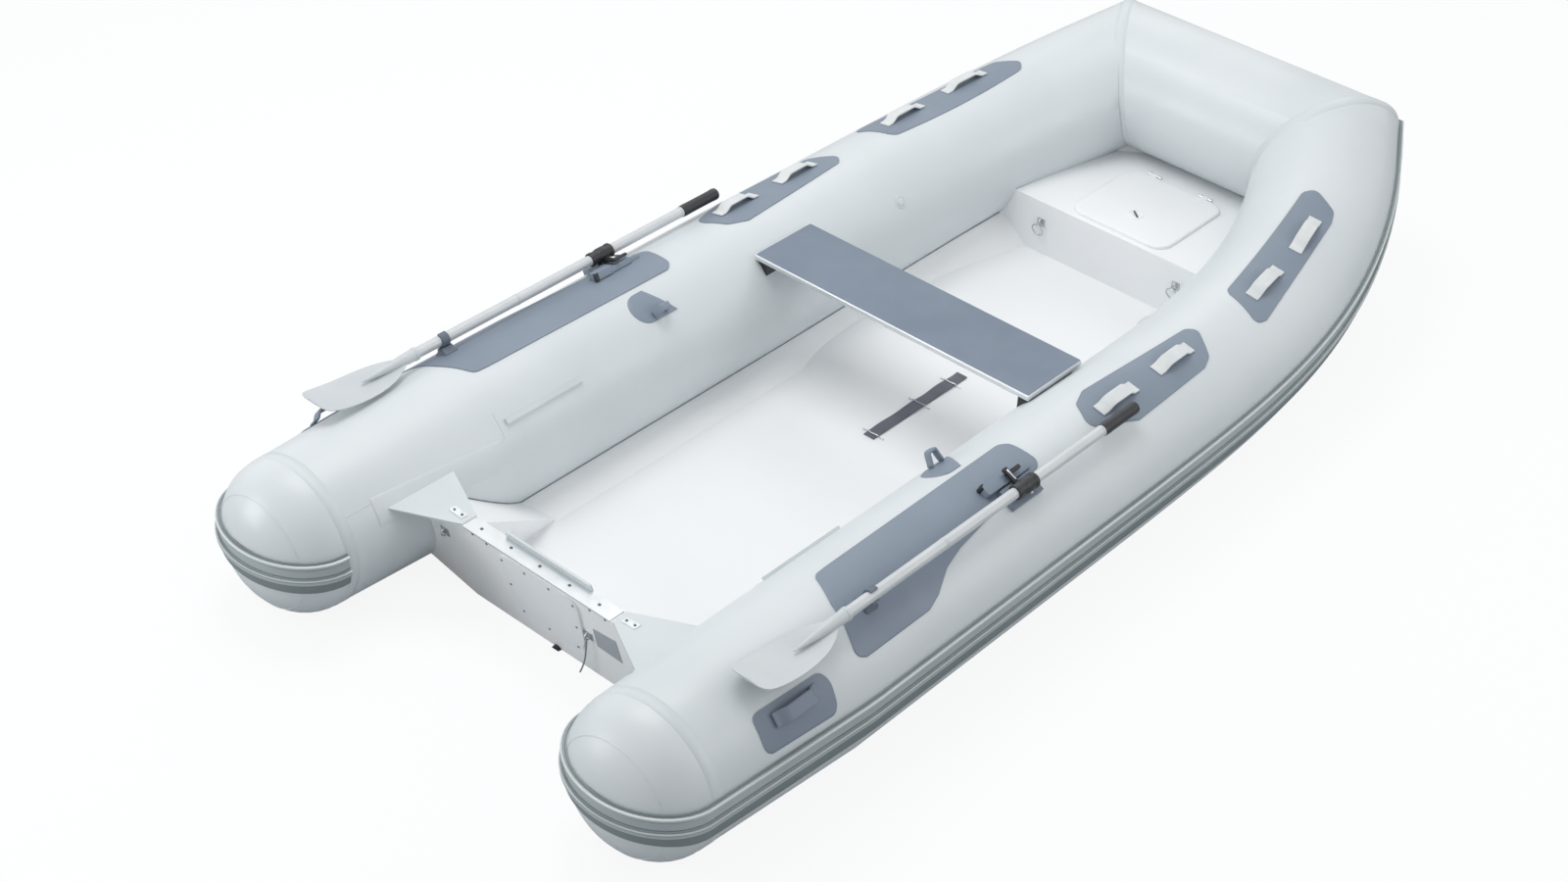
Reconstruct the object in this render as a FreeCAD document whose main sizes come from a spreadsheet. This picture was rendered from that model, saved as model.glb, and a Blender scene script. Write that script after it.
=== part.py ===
import FreeCAD, Part
import math
import os
from FreeCAD import Placement, Rotation, Vector

# Inflatable boat with a rigid V hull. Millimetres. +X forward to the bow, +Y to port, +Z up.
# The origin is on the centreline at the waterline, under the transom's top aft edge.

doc = FreeCAD.newDocument("rigid_inflatable_boat")
sheet = doc.addObject("Spreadsheet::Sheet", "Sizes")

DRIVING_SIZES = {
    "Buoyancy tubes": {
        "tube_radius": 215,
        "tube_offset": 595,
        "tube_height": 190,
        "taper_start": 250,
        "seam_aft": 235,
        "seam_radius": 198,
        "seam_inset": 8,
        "seam_lift": 10,
        "cone_length": 155,
        "curve_start": 1328,
        "corner_forward": 2826,
        "corner_inset": 247,
        "corner_rise": 193,
        "corner_radius": 203,
        "corner_runout": 260,
        "overrun": 40,
    },
    "Rub strake": {
        "strake_top": 48,
        "strake_foot": 11,
        "strake_proud": 6,
        "ridge_upper": 39,
        "ridge_lower": 3,
        "ridge_proud": 13,
        "ridge_width": 12,
        "band_gap": 0.5,
        "band_foot": 72,
        "band_proud": 7,
    },
    "Hull and deck": {
        "keel_depth": 96,
        "keel_level": 1900,
        "keel_rise": 274,
        "hull_bulge": 60,
        "floor_height": 30,
        "floor_thickness": 6,
        "locker_face": 2280,
        "locker_top": 200,
        "locker_wall": 6,
        "hull_wall": 10,
        "knee_inset": 224,
        "knee_foot_inset": 312,
        "knee_forward": 398,
        "knee_tip_inset": 339,
        "lid_aft": 2300,
        "lid_length": 328,
        "lid_half_width": 168,
        "lid_corner": 50,
        "lid_lap": 16,
        "lid_thickness": 9,
        "lid_lip_depth": 10,
        "lid_lip_wall": 5,
        "lid_lip_gap": 3,
        "lid_gap": 0.3,
        "hinge_radius": 5,
        "hinge_pin_radius": 2,
        "hinge_pin_gap": 0.05,
        "hinge_leaf": 2,
        "hinge_knuckle": 22,
        "hinge_spread": 90,
        "latch_forward": 2406,
        "latch_radius": 24,
        "latch_height": 3,
        "latch_bar_length": 38,
        "latch_bar_width": 6,
        "latch_bar_height": 6,
    },
    "Transom": {
        "transom_top": 280,
        "transom_rake": 15,
        "flap_slope_share": 0.06,
        "transom_thickness": 40,
        "cap_thickness": 4,
        "cap_width": 48,
        "cap_half_length": 242,
        "pad_thickness": 6,
        "pad_half_width": 131,
        "pad_drop": 10,
        "pad_depth": 214,
        "pad_round": 30,
        "inner_pad_half_width": 141,
        "inner_pad_height": 120,
        "inner_pad_rise": 12,
        "flap_thickness": 4,
        "flap_aft": 118,
        "flap_forward": 140,
        "flap_root": 250,
        "flap_root_forward": 47,
        "flap_plate_length": 44,
        "flap_plate_width": 20,
        "flap_plate_thickness": 2,
        "flap_plate_offset": 286,
        "flap_plate_forward": 21,
    },
    "Drain": {
        "drain_offset": 8,
        "drain_drop": 262,
        "hood_height": 74,
        "hood_half_width": 33,
        "hood_round": 12,
        "hood_lip": 3,
        "hood_depth": 24,
        "plug_radius": 13,
        "plug_length": 42,
        "lanyard_radius": 2,
        "lanyard_bend_least": 20,
    },
    "Seat": {
        "seat_aft": 1257,
        "seat_width": 226,
        "seat_half_length": 461,
        "seat_top": 378,
        "seat_thickness": 18,
        "seat_block_width": 28,
        "seat_block_inset": 8,
        "seat_block_length": 190,
        "strip_aft": 310,
        "strip_length": 260,
        "strip_width": 14,
        "strip_proud": 8,
        "strip_angle": 50,
    },
    "Oars": {
        "oar_lean": 26,
        "oar_stand": 38,
        "pivot_forward": 920,
        "shaft_radius": 14,
        "shaft_wall": 2,
        "shaft_aft": 236,
        "grip_start": 1227,
        "grip_end": 1336,
        "grip_radius": 16,
        "blade_tip": 24,
        "blade_half_width": 89,
        "blade_thickness": 6,
        "blade_spoon": 1700,
        "socket_radius": 18,
        "socket_length": 46,
        "pad_sheet": 3,
        "lock_base_length": 110,
        "lock_base_width": 56,
        "lock_base_height": 12,
        "lock_pin_radius": 7.95,
        "lock_bore_radius": 8,
        "lock_pin_depth": 8,
        "lock_gap": 0.5,
        "lock_stem_radius": 16,
        "lock_ring_radius": 20,
        "lock_ring_length": 44,
        "clip_forward": 357,
        "clip_length": 40,
        "clip_width": 48,
        "clip_arm": 5,
        "clip_gap": 0.6,
    },
    "Tube fittings": {
        "patch_sheet": 2.5,
        "patch_round": 26,
        "handle_first": 1301,
        "handle_second": 1548,
        "handle_third": 2012,
        "handle_fourth": 2264,
        "handle_length": 150,
        "handle_rise": 22,
        "handle_width": 36,
        "handle_thickness": 5,
        "handle_foot": 16,
        "handle_angle": 12.5,
        "stern_handle_aft": -23,
        "stern_handle_length": 138,
        "stern_handle_rise": 26,
        "stern_handle_width": 30,
        "stern_handle_thickness": 7,
        "stern_handle_angle": 52,
        "loop_aft": 872,
        "loop_length": 96,
        "loop_angle": -42,
        "loop_rise": 40,
        "loop_width": 24,
        "loop_thickness": 8,
        "oar_pad_aft": 250,
        "oar_pad_length": 788,
        "aft_patch_aft": 1234,
        "aft_patch_length": 541,
        "bow_patch_aft": 1938,
        "bow_patch_length": 545,
        "stern_patch_aft": -70,
        "stern_patch_length": 228,
    },
    "Deck fittings": {
        "eye_offset": 240,
        "eye_height": 132,
        "eye_plate": 26,
        "eye_bar": 2.5,
        "eye_radius": 11,
        "stern_eye_offset": 333,
        "stern_eye_drop": 76,
        "lanyard_eye_offset": -139,
        "lanyard_eye_drop": 129,
        "strap_aft": 1215,
        "strap_length": 405,
        "strap_width": 38,
        "strap_thickness": 2,
        "loop_wire": 2,
        "strap_loop_rise": 7,
    },
}

# Shares of a length, and powers of the sheer line, that set forms without a size of their own.
INSET_POWER_SHARE = 3.8
RISE_POWER_SHARE = 3.33
KEEL_POWER_SHARE = 2.2
CHINE_SHARES = (0.75, 0.661)
KNUCKLE_SHARE = 0.75
EDGE_SHARES = (0.80, 0.60)
SLOPE_SHARE = 1.3
BURIED_SHARE = 1.12
RUN_SHARE = 0.2
SLIP_SHARE = 0.6
NECK_SHARE = 0.6
RIB_SHARE = 0.62
BEND_SHARE = 0.45
HULL_STATION_SHARES = (0.0, 0.15, 0.3, 0.45, 0.6, 0.7, 0.8, 0.9, 1.0)
SHIELD_SHARES = ((1.0, 0.0), (0.94, 0.67), (0.8, 0.93), (0.45, 1.0))
BLADE_SHARES = ((0.0, 0.1), (0.15, 0.16), (0.35, 0.78), (0.5, 0.95), (0.8, 1.0), (0.95, 0.86), (1.0, 0.6))
STRAP_LOOP_SHARES = (0.02, 0.53, 0.85)

# Route of the plug's cord, in millimetres: to port, up from the board's top edge, and aft of the board.
LANYARD_ROUTE = (
    (-139, -137.5, 11), (-132, -172, 14), (-121, -218, 19), (-103, -262, 23), (-80, -305, 25),
    (-52, -340, 24), (-22, -358, 20), (3, -362, 16),
)

# Outlines on the tube: share of the outline's length, and angle from the tube's top, outboard positive.
OAR_PAD_SHARES = (
    (0.10, -10), (0.157, -10.7), (0.968, -12.5), (0.996, -7.8), (1.0, 18.7), (0.541, 32.1), (0.453, 37.3),
    (0.373, 47.5), (0.316, 52.1), (0.034, 52.5), (0.0, 48.7), (0.027, 29.3), (0.044, 14.2),
)
AFT_PATCH_SHARES = (
    (0.089, -2.5), (0.196, -8.8), (0.957, -1.3), (1.0, 5.9), (0.904, 26.9), (0.832, 31),
    (0.274, 33.2), (0.0, 18.4),
)
BOW_PATCH_SHARES = (
    (0.073, -4.7), (0.945, -6.6), (1.0, 2.5), (0.952, 23.5), (0.883, 25.5), (0.073, 33),
    (0.0, 30), (0.05, 0),
)
STERN_PATCH_SHARES = (
    (0.096, 42.9), (0.925, 43.6), (1.0, 51.3), (0.974, 69.5), (0.908, 72.1), (0.079, 70.7), (0.0, 67.3),
    (0.009, 44.8),
)
BOW_STATION_SHARES = (0.0, 0.15, 0.3, 0.45, 0.6, 0.7, 0.8, 0.9, 1.0)
DOME_SHARES = (0.0, 0.2, 0.4, 0.6, 0.8, 1.0)

row = 1
for title, group in DRIVING_SIZES.items():
    sheet.set("A%d" % row, title)
    row += 1
    for alias, value in group.items():
        sheet.set("A%d" % row, alias)
        sheet.set("B%d" % row, str(value))
        sheet.setAlias("B%d" % row, alias)
        row += 1
doc.recompute()

pieces = []


def size(alias):
    """Value of one cell of the sheet, in millimetres or degrees."""
    return float(sheet.get(alias))


def polygon(points):
    """Closed wire through points."""
    return Part.makePolygon(list(points) + [points[0]])


def prism(points, direction):
    """Solid swept from a flat outline along a vector."""
    return Part.Face(polygon(points)).extrude(direction)


def rounded_wire(points, closed, largest):
    """Wire of straight runs and tangent arcs through a route's corners, with the radii of its arcs."""
    count = len(points)
    turns = range(count) if closed else range(1, count - 1)
    edges = []
    radii = []
    last = None if closed else points[0]
    first = last
    for index in turns:
        before = points[index - 1] - points[index]
        after = points[(index + 1) % count] - points[index]
        half_turn = (math.pi - before.getAngle(after)) / 2
        radius = min(largest, BEND_SHARE * min(before.Length, after.Length) / math.tan(half_turn))
        back, ahead = before.normalize(), after.normalize()
        run = radius * math.tan(half_turn)
        enter, leave = points[index] + back * run, points[index] + ahead * run
        inward = (back + ahead).normalize()
        middle = points[index] + inward * (radius / math.cos(half_turn) - radius)
        if last is None:
            first = enter
        else:
            edges.append(Part.LineSegment(last, enter).toShape())
        edges.append(Part.Arc(enter, middle, leave).toShape())
        radii.append(radius)
        last = leave
    edges.append(Part.LineSegment(last, first if closed else points[-1]).toShape())
    return Part.Wire(edges), radii


def both_sides(shape):
    """The shape and its mirror image across the centreline."""
    return shape, shape.mirror(Vector(), Vector(0, 1, 0))


def half_space(point, normal, reach):
    """Block that fills the side of a plane that its normal points to."""
    block = Part.makeBox(reach, reach, reach)
    centring = Placement(Vector(-reach / 2, -reach / 2, 0), Rotation())
    block.Placement = Placement(point, Rotation(Vector(0, 0, 1), normal)).multiply(centring)
    return block


def raised(kind, name, sizes, placement=Placement()):
    """Document feature whose properties are bound to the sheet, with its place."""
    feature = doc.addObject(kind, name)
    for prop, formula in sizes.items():
        feature.setExpression(prop, formula)
    feature.Placement = placement
    return feature


def mirrored(name, source):
    """Mirror image of a feature across the centreline."""
    image = doc.addObject("Part::Mirroring", name)
    image.Source = source
    image.Normal = Vector(0, 1, 0)
    return image


def joined(name, *features):
    """One feature made of several."""
    union = doc.addObject("Part::MultiFuse", name)
    union.Shapes = list(features)
    return union


def trimmed(name, base, tool):
    """A feature with another taken out of it."""
    remainder = doc.addObject("Part::Cut", name)
    remainder.Base = base
    remainder.Tool = tool
    return remainder


def solid(name, shape):
    """Feature that holds a computed shape."""
    feature = doc.addObject("Part::Feature", name)
    feature.Shape = shape
    return feature


def piece(label, feature):
    """Name a finished feature as a piece of the boat."""
    feature.Label = label
    pieces.append(feature)
    return feature


def piece_pair(label, feature):
    """Name a port piece and its starboard mirror image."""
    piece(label + "_port", feature)
    return feature, piece(label + "_starboard", mirrored(feature.Name + "Mirror", feature))


def both(label, feature):
    """One piece made of a port solid and its starboard mirror image."""
    pair = doc.addObject("Part::Compound", feature.Name + "Pair")
    pair.Links = [feature, mirrored(feature.Name + "Mirror", feature)]
    return piece(label, pair)


# Buoyancy tubes.

tube_radius = size("tube_radius")
tube_offset = size("tube_offset")
tube_height = size("tube_height")
seam_x = -size("seam_aft")
seam_radius = size("seam_radius")
taper_x = size("taper_start")
curve_x = size("curve_start")
corner_x = size("corner_forward")
corner_radius = size("corner_radius")
overrun = size("overrun")


def tube_station(x):
    """Centre and radius of the port tube at a place along the boat."""
    if x < taper_x:
        share = (taper_x - x) / (taper_x - seam_x)
        y = tube_offset - share * size("seam_inset")
        z = tube_height + share * size("seam_lift")
        return Vector(x, y, z), tube_radius + share * (seam_radius - tube_radius)
    share = max(0.0, (x - curve_x) / (corner_x - curve_x))
    y = tube_offset - size("corner_inset") * share ** INSET_POWER_SHARE
    z = tube_height + size("corner_rise") * share ** RISE_POWER_SHARE
    return Vector(x, y, z), tube_radius + share * (corner_radius - tube_radius)


def tube_direction(x):
    """Unit vector along the port tube's centreline, forward."""
    if x < taper_x:
        return Vector(1, 0, 0)
    share = max(0.0, (x - curve_x) / (corner_x - curve_x))
    run = corner_x - curve_x
    inward = size("corner_inset") * INSET_POWER_SHARE * share ** (INSET_POWER_SHARE - 1) / run
    upward = size("corner_rise") * RISE_POWER_SHARE * share ** (RISE_POWER_SHARE - 1) / run
    return Vector(1, -inward, upward).normalize()


def section_frame(x):
    """Outward and upward unit vectors across the port tube."""
    along = tube_direction(x)
    outward = Vector(0, 0, 1).cross(along).normalize()
    return outward, along.cross(outward)


def ring(centre, along, radius):
    """Circle across a direction, its start turned upward."""
    outward = Vector(0, 0, 1).cross(along).normalize()
    upward = along.cross(outward)
    circle = Part.makeCircle(radius)
    circle.Placement = Placement(centre, Rotation(upward, outward.negative(), along, "ZXY"))
    return Part.Wire([circle])


def bow_stations():
    """Places along the boat where the curved part of the tube is drawn."""
    return [curve_x + share * (corner_x - curve_x) for share in BOW_STATION_SHARES]


corner = tube_station(corner_x)[0]
corner_along = tube_direction(corner_x)
mitre_normal = (corner_along + Vector(0, -1, 0)).normalize()
mitre_reach = 4 * (tube_radius + size("corner_runout"))


def side_tube(skin=0):
    """Port tube from the stern seam to the mitre at the bow, or the same tube with a skin on it."""
    seam_centre, seam_r = tube_station(seam_x)
    taper_centre, taper_r = tube_station(taper_x)
    taper = Part.makeLoft(
        [ring(seam_centre, Vector(1, 0, 0), seam_r + skin),
         ring(taper_centre, Vector(1, 0, 0), taper_r + skin)],
        True, True)
    rings = []
    for x in bow_stations():
        centre, radius = tube_station(x)
        rings.append(ring(centre, tube_direction(x), radius + skin))
    rings.append(ring(corner + corner_along * size("corner_runout"), corner_along, corner_radius + skin))
    curved = Part.makeLoft(rings, True, False)
    curved = curved.cut(half_space(corner, mitre_normal, mitre_reach))
    straight = Part.makeCylinder(taper_r + skin, curve_x - taper_x, taper_centre, Vector(1, 0, 0))
    return taper.fuse([straight, curved])


def bow_tube():
    """Straight transverse tube across the bow, mitred at both ends."""
    reach = corner.y + size("corner_runout")
    tube = Part.makeCylinder(corner_radius, 2 * reach, Vector(corner.x, -reach, corner.z), Vector(0, 1, 0))
    for cutter in both_sides(half_space(corner, mitre_normal.negative(), mitre_reach)):
        tube = tube.cut(cutter)
    return tube


def stern_cone():
    """Domed end of the port tube, turned about the tube's own centreline."""
    centre, radius = tube_station(seam_x)
    length = size("cone_length")
    profile = [Vector(radius * math.cos(share * math.pi / 2), length * math.sin(share * math.pi / 2), 0)
               for share in DOME_SHARES]
    curve = Part.BSplineCurve()
    curve.interpolate(profile, InitialTangent=Vector(0, 1, 0), FinalTangent=Vector(-1, 0, 0))
    quarter = curve.toShape()
    rim, tip = profile[0], profile[-1]
    outline = Part.Wire([quarter, Part.makeLine(tip, Vector()), Part.makeLine(Vector(), rim)])
    solid = Part.Face(outline).revolve(Vector(), Vector(0, 1, 0), 360)
    solid.Placement = Placement(centre, Rotation(Vector(0, 1, 0), Vector(-1, 0, 0)))
    return solid


port_tube, starboard_tube = both_sides(side_tube())
front_tube = bow_tube()
port_cone = stern_cone()
piece_pair("tube", solid("Tube", port_tube))
piece("tube_bow", solid("TubeBow", front_tube))
both("stern_cones", solid("SternCone", port_cone))


# Rub strake and the darker band under it.

strake_top = size("strake_top")
strake_foot = -size("strake_foot")
strake_proud = size("strake_proud")
ridge_width = size("ridge_width")


def ridge(height):
    """Outline of one raised ridge of the strake, from its upper edge to its lower edge."""
    half, crown = ridge_width / 2, ridge_width / 4
    proud = size("ridge_proud")
    return [(height + half, strake_proud), (height + crown, proud),
            (height - crown, proud), (height - half, strake_proud)]


STRAKE_OUTLINE = (
    [(strake_top, -strake_proud / 2), (strake_top, strake_proud)]
    + ridge(size("ridge_upper"))
    + [((size("ridge_upper") - size("ridge_lower")) / 2, strake_proud)]
    + ridge(-size("ridge_lower"))
    + [(strake_foot, strake_proud), (strake_foot, -strake_proud / 2)]
)
BAND_OUTLINE = [
    (strake_foot - size("band_gap"), -strake_proud / 2),
    (strake_foot - size("band_gap"), size("band_proud")),
    (-size("band_foot"), size("band_proud")), (-size("band_foot"), -strake_proud / 2),
]


def wall_point(centre, outward, upward, reach, radius, height, proud):
    """Point of a strake outline, by its height on the tube and how proud it stands."""
    angle = math.asin(height / radius)
    return (centre + outward * ((reach + proud) * math.cos(angle))
            + upward * ((radius + proud) * math.sin(angle)))


def strake_wire(outline, place):
    """Closed outline of a strake: straight outer lines and an arc on the tube."""
    points = [place(height, proud) for height, proud in outline]
    middle = place((outline[0][0] + outline[-1][0]) / 2, outline[0][1])
    edges = [Part.makeLine(a, b) for a, b in zip(points, points[1:])]
    edges.append(Part.Arc(points[-1], middle, points[0]).toShape())
    return Part.Wire(edges)


def strake(outline):
    """Strake round both stern cones, along both tubes and across the bow."""
    centre, radius = tube_station(seam_x)
    upright = Vector(0, 0, 1)
    wrap = []
    for step in range(9):
        turn = math.pi * (8 - step) / 8
        outward = Vector(-math.sin(turn), math.cos(turn), 0)
        reach = 1 / math.hypot(math.cos(turn) / radius, math.sin(turn) / size("cone_length"))
        wrap.append(strake_wire(
            outline, lambda h, p, o=outward, r=reach: wall_point(centre, o, upright, r, radius, h, p)))
    side = []
    for x in [taper_x] + bow_stations():
        place_centre, place_radius = tube_station(x)
        outward, upward = section_frame(x)
        side.append(strake_wire(
            outline,
            lambda h, p, c=place_centre, o=outward, u=upward, r=place_radius:
            wall_point(c, o, u, r, r, h, p)))
    outward, upward = section_frame(corner_x)

    def mitred(height, proud):
        point = wall_point(corner, outward, upward, corner_radius, corner_radius, height, proud)
        run = (corner - point).dot(mitre_normal) / corner_along.dot(mitre_normal)
        return point + corner_along * run

    side[-1] = strake_wire(outline, mitred)
    port_half = Part.makeLoft(wrap, True, False)
    port_half = port_half.fuse([Part.makeLoft([wrap[-1], side[0]], True, True),
                                Part.makeLoft(side[:2], True, True), Part.makeLoft(side[1:], True, False)])
    port, starboard = both_sides(port_half)
    bow = Part.makeLoft([side[-1], side[-1].mirror(Vector(), Vector(0, 1, 0))], True, True)
    return port.fuse([bow, starboard])


# Hull bottom, deck liner and locker.

chine_in, chine_down = CHINE_SHARES
edge_in, edge_down = EDGE_SHARES
keel_level = size("keel_level")
floor_top = size("floor_height")
floor_under = floor_top - size("floor_thickness")
locker_x = size("locker_face")
locker_top = size("locker_top")
locker_wall = size("locker_wall")
transom_top = size("transom_top")
rake = math.radians(size("transom_rake"))
reach = corner_x + overrun
sky = transom_top + tube_radius


def keel_height(x):
    """Height of the keel line, which rises towards the bow."""
    share = max(0.0, (x - keel_level) / (corner_x - keel_level))
    return -size("keel_depth") + size("keel_rise") * share ** KEEL_POWER_SHARE


def vee_line(x):
    """Keel, knuckle and chine of a section. The knuckle is let down between the ends of the tube's curve."""
    centre, radius = place_on_curve(x)
    keel = Vector(x, 0, keel_height(x))
    chine = Vector(x, centre.y - chine_in * radius, centre.z - chine_down * radius)
    share = min(1.0, max(0.0, (x - curve_x) / (corner_x - curve_x)))
    knuckle = keel + (chine - keel) * KNUCKLE_SHARE
    knuckle.z -= 4 * size("hull_bulge") * share * (1 - share)
    return keel, knuckle, chine


def hull_stations():
    """Places along the boat where the hull's sections are drawn."""
    forward = [curve_x + share * (corner_x - curve_x) for share in HULL_STATION_SHARES]
    return [seam_x, (seam_x + curve_x) / 2] + forward + [reach]


def place_on_curve(x):
    """Tube station for a hull section, held level aft of the taper and ahead of the corner."""
    return tube_station(min(max(x, taper_x), corner_x))


def vee_section(x, lift, top):
    """Section of the V bottom from the keel into both tubes, up to a height."""
    raise_by = Vector(0, 0, lift)
    keel, knuckle, chine = vee_line(x)
    buried = knuckle + (chine - knuckle) * (1 + (BURIED_SHARE - 1) / (1 - KNUCKLE_SHARE)) + raise_by
    half = [knuckle + raise_by, buried, Vector(x, buried.y, top)]
    mirror = [Vector(p.x, -p.y, p.z) for p in reversed(half)]
    return polygon([keel + raise_by] + half + mirror)


def well_section(x, drop, spread, top):
    """Section of the cockpit space above a floor that turns up at its sides."""
    centre, radius = place_on_curve(x)
    edge_y = centre.y - edge_in * radius
    edge_z = centre.z - edge_down * radius
    inner, knuckle, outer = vee_line(x)
    lowest = floor_under - size("hull_wall")
    if knuckle.z < lowest:
        inner, knuckle = knuckle, outer
    bottom_y = inner.y + (knuckle.y - inner.y) * (lowest - inner.z) / (knuckle.z - inner.z)
    foot = Vector(x, min(edge_y - SLOPE_SHARE * (edge_z - floor_top), bottom_y), floor_top - drop)
    edge = Vector(x, edge_y, edge_z - drop)
    buried = edge + (edge - foot) * (BURIED_SHARE - 1)
    half = [foot, buried, Vector(x, centre.y + spread, buried.z), Vector(x, centre.y + spread, top)]
    mirror = [Vector(p.x, -p.y, p.z) for p in reversed(half)]
    return polygon(half + mirror)


def through(section, stations):
    """Solid through sections along the boat, flat-sided to the start of the curve and faired ahead of it."""
    aft = [x for x in stations if x <= curve_x]
    fore = [x for x in stations if x >= curve_x]
    faired = Part.makeLoft([section(x) for x in fore], True, False)
    if not aft:
        return faired
    return Part.makeLoft([section(aft[0]), section(aft[-1])], True, True).fuse(faired)


well_stations = [x for x in hull_stations() if x < locker_x] + [locker_x, locker_x + locker_wall]
locker_stations = [locker_x + locker_wall] + [x for x in hull_stations() if x > locker_x + overrun]
transom_tip = Vector(0, 0, transom_top)
transom_normal = Vector(math.cos(rake), 0, math.sin(rake))
transom_front = transom_tip + transom_normal * size("transom_thickness")
ahead_of_transom = half_space(transom_front, transom_normal, 4 * reach)
behind_transom = half_space(transom_front, transom_normal.negative(), 4 * reach)

vee = through(lambda x: vee_section(x, 0, tube_height + tube_radius), hull_stations())
well_under = through(lambda x: well_section(x, floor_top - floor_under, 0, sky), well_stations)
well_over = through(lambda x: well_section(x, 0, overrun, sky + overrun), well_stations)
locker_space = through(lambda x: vee_section(x, size("hull_wall"), sky), locker_stations)

hull = vee.cut([well_under, locker_space, behind_transom, port_tube, starboard_tube, front_tube])
keel_keeper = max(hull.Solids, key=lambda s: s.Volume)
piece("hull_bottom", solid("HullBottom", keel_keeper))

floor = well_under.cut([well_over, behind_transom])
face = Part.makeBox(locker_wall, 2 * tube_offset, locker_top - floor_under,
                    Vector(locker_x, -tube_offset, floor_under))
top_plate = Part.makeBox(corner_x - locker_x, 2 * tube_offset, locker_wall,
                         Vector(locker_x, -tube_offset, locker_top - locker_wall))
lid_aft = size("lid_aft")
lid_length = size("lid_length")
lid_half = size("lid_half_width")
lap = size("lid_lap")


def rounded_plate(x, y_half, z, length, corner, thickness):
    """Plate on the centreline with rounded corners, from its aft edge."""
    plate = Part.makeBox(length, 2 * y_half, thickness, Vector(x, -y_half, z))
    upright = [e for e in plate.Edges if abs(e.Vertexes[0].Z - e.Vertexes[-1].Z) > thickness / 2]
    return plate.makeFillet(corner, upright)


knee_top = transom_front.x + (transom_front.z - transom_top) * math.tan(rake)
knee_foot = transom_front.x + (transom_front.z - floor_under) * math.tan(rake)
knee = prism([Vector(knee_top, size("knee_inset"), transom_top),
              Vector(knee_foot, size("knee_foot_inset"), floor_under),
              Vector(size("knee_forward"), size("knee_tip_inset"), floor_under)], Vector(0, tube_radius, 0))
knee = knee.common(well_over)
hatch = rounded_plate(lid_aft + lap, lid_half - lap, locker_top - 2 * locker_wall, lid_length - 2 * lap,
                      size("lid_corner") - lap, 4 * locker_wall)
liner = floor.fuse([face, top_plate] + list(both_sides(knee)))
liner = liner.cut([hatch, keel_keeper, behind_transom, port_tube, starboard_tube, front_tube])
liner = max(liner.Solids, key=lambda s: s.Volume)
piece("deck_liner", solid("DeckLiner", liner.removeSplitter()))

# Locker lid, its latch and its hinges at the forward edge.

lid_base = locker_top + size("lid_gap")
lid_thickness = size("lid_thickness")
lip_gap = size("lid_lip_gap")
lip_depth = size("lid_lip_depth")
lip_wall = size("lid_lip_wall")
lid = rounded_plate(lid_aft, lid_half, lid_base, lid_length, size("lid_corner"), lid_thickness)
lip_aft = lid_aft + lap + lip_gap
lip_half = lid_half - lap - lip_gap
lip_length = lid_length - 2 * (lap + lip_gap)
lip_corner = size("lid_corner") - lap - lip_gap
lip = rounded_plate(lip_aft, lip_half, lid_base - lip_depth, lip_length, lip_corner, lip_depth)
lip_core = rounded_plate(lip_aft + lip_wall, lip_half - lip_wall, lid_base - lip_depth - overrun,
                         lip_length - 2 * lip_wall, lip_corner - lip_wall, lip_depth + overrun)
hinge_radius = size("hinge_radius")
pin_radius = size("hinge_pin_radius")
knuckle = size("hinge_knuckle")
leaf = size("hinge_leaf")
axis_x = lid_aft + lid_length + hinge_radius + leaf
axis_z = lid_base + hinge_radius
leaf_top = lid_base + lid_thickness
lid_parts = [lip.cut(lip_core)]
bores = []
fixed_parts = []
for side in (-1, 1):
    middle = side * size("hinge_spread")
    sleeve_y = middle - knuckle / 2
    bore_gap = size("hinge_pin_gap")
    lid_parts.append(Part.makeCylinder(hinge_radius, knuckle, Vector(axis_x, sleeve_y, axis_z),
                                       Vector(0, 1, 0)))
    lid_parts.append(Part.makeBox(axis_x - lid_aft - lid_length + lap, knuckle, leaf,
                                  Vector(lid_aft + lid_length - lap, sleeve_y, leaf_top - leaf)))
    bores.append(Part.makeCylinder(pin_radius + bore_gap, knuckle, Vector(axis_x, sleeve_y, axis_z),
                                   Vector(0, 1, 0)))
    pin = Part.makeCylinder(pin_radius, 2 * knuckle, Vector(axis_x, middle - knuckle, axis_z),
                            Vector(0, 1, 0))
    posts = []
    for end in (-1, 1):
        post_y = middle + end * (knuckle / 2 + knuckle / 4 + bore_gap) - knuckle / 4
        post = Part.makeCylinder(hinge_radius, knuckle / 2 - bore_gap,
                                 Vector(axis_x, post_y + bore_gap / 2, axis_z), Vector(0, 1, 0))
        foot = Part.makeBox(2 * hinge_radius, knuckle / 2 - bore_gap, axis_z - locker_top,
                            Vector(axis_x - hinge_radius, post_y + bore_gap / 2, locker_top))
        posts += [post, foot]
    fixed_parts.append(pin.fuse(posts).removeSplitter())
lid = lid.fuse(lid_parts).cut(bores).removeSplitter()
piece("locker_lid", solid("LockerLid", lid))
piece("lid_hinges", solid("LidHinges", Part.makeCompound(fixed_parts)))
latch_x = size("latch_forward")
piece("lid_latch", joined(
    "LidLatch",
    raised("Part::Cylinder", "LatchDisc", {"Radius": "Sizes.latch_radius", "Height": "Sizes.latch_height"},
           Placement(Vector(latch_x, 0, leaf_top), Rotation())),
    raised("Part::Box", "LatchBar", {"Length": "Sizes.latch_bar_length", "Width": "Sizes.latch_bar_width",
                                     "Height": "Sizes.latch_height + Sizes.latch_bar_height"},
           Placement(Vector(latch_x - size("latch_bar_length") / 2, -size("latch_bar_width") / 2, leaf_top),
                     Rotation()))))

# Transom board with its cap, motor pads and gussets. Plates on the board are drawn in its own plane.

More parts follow.
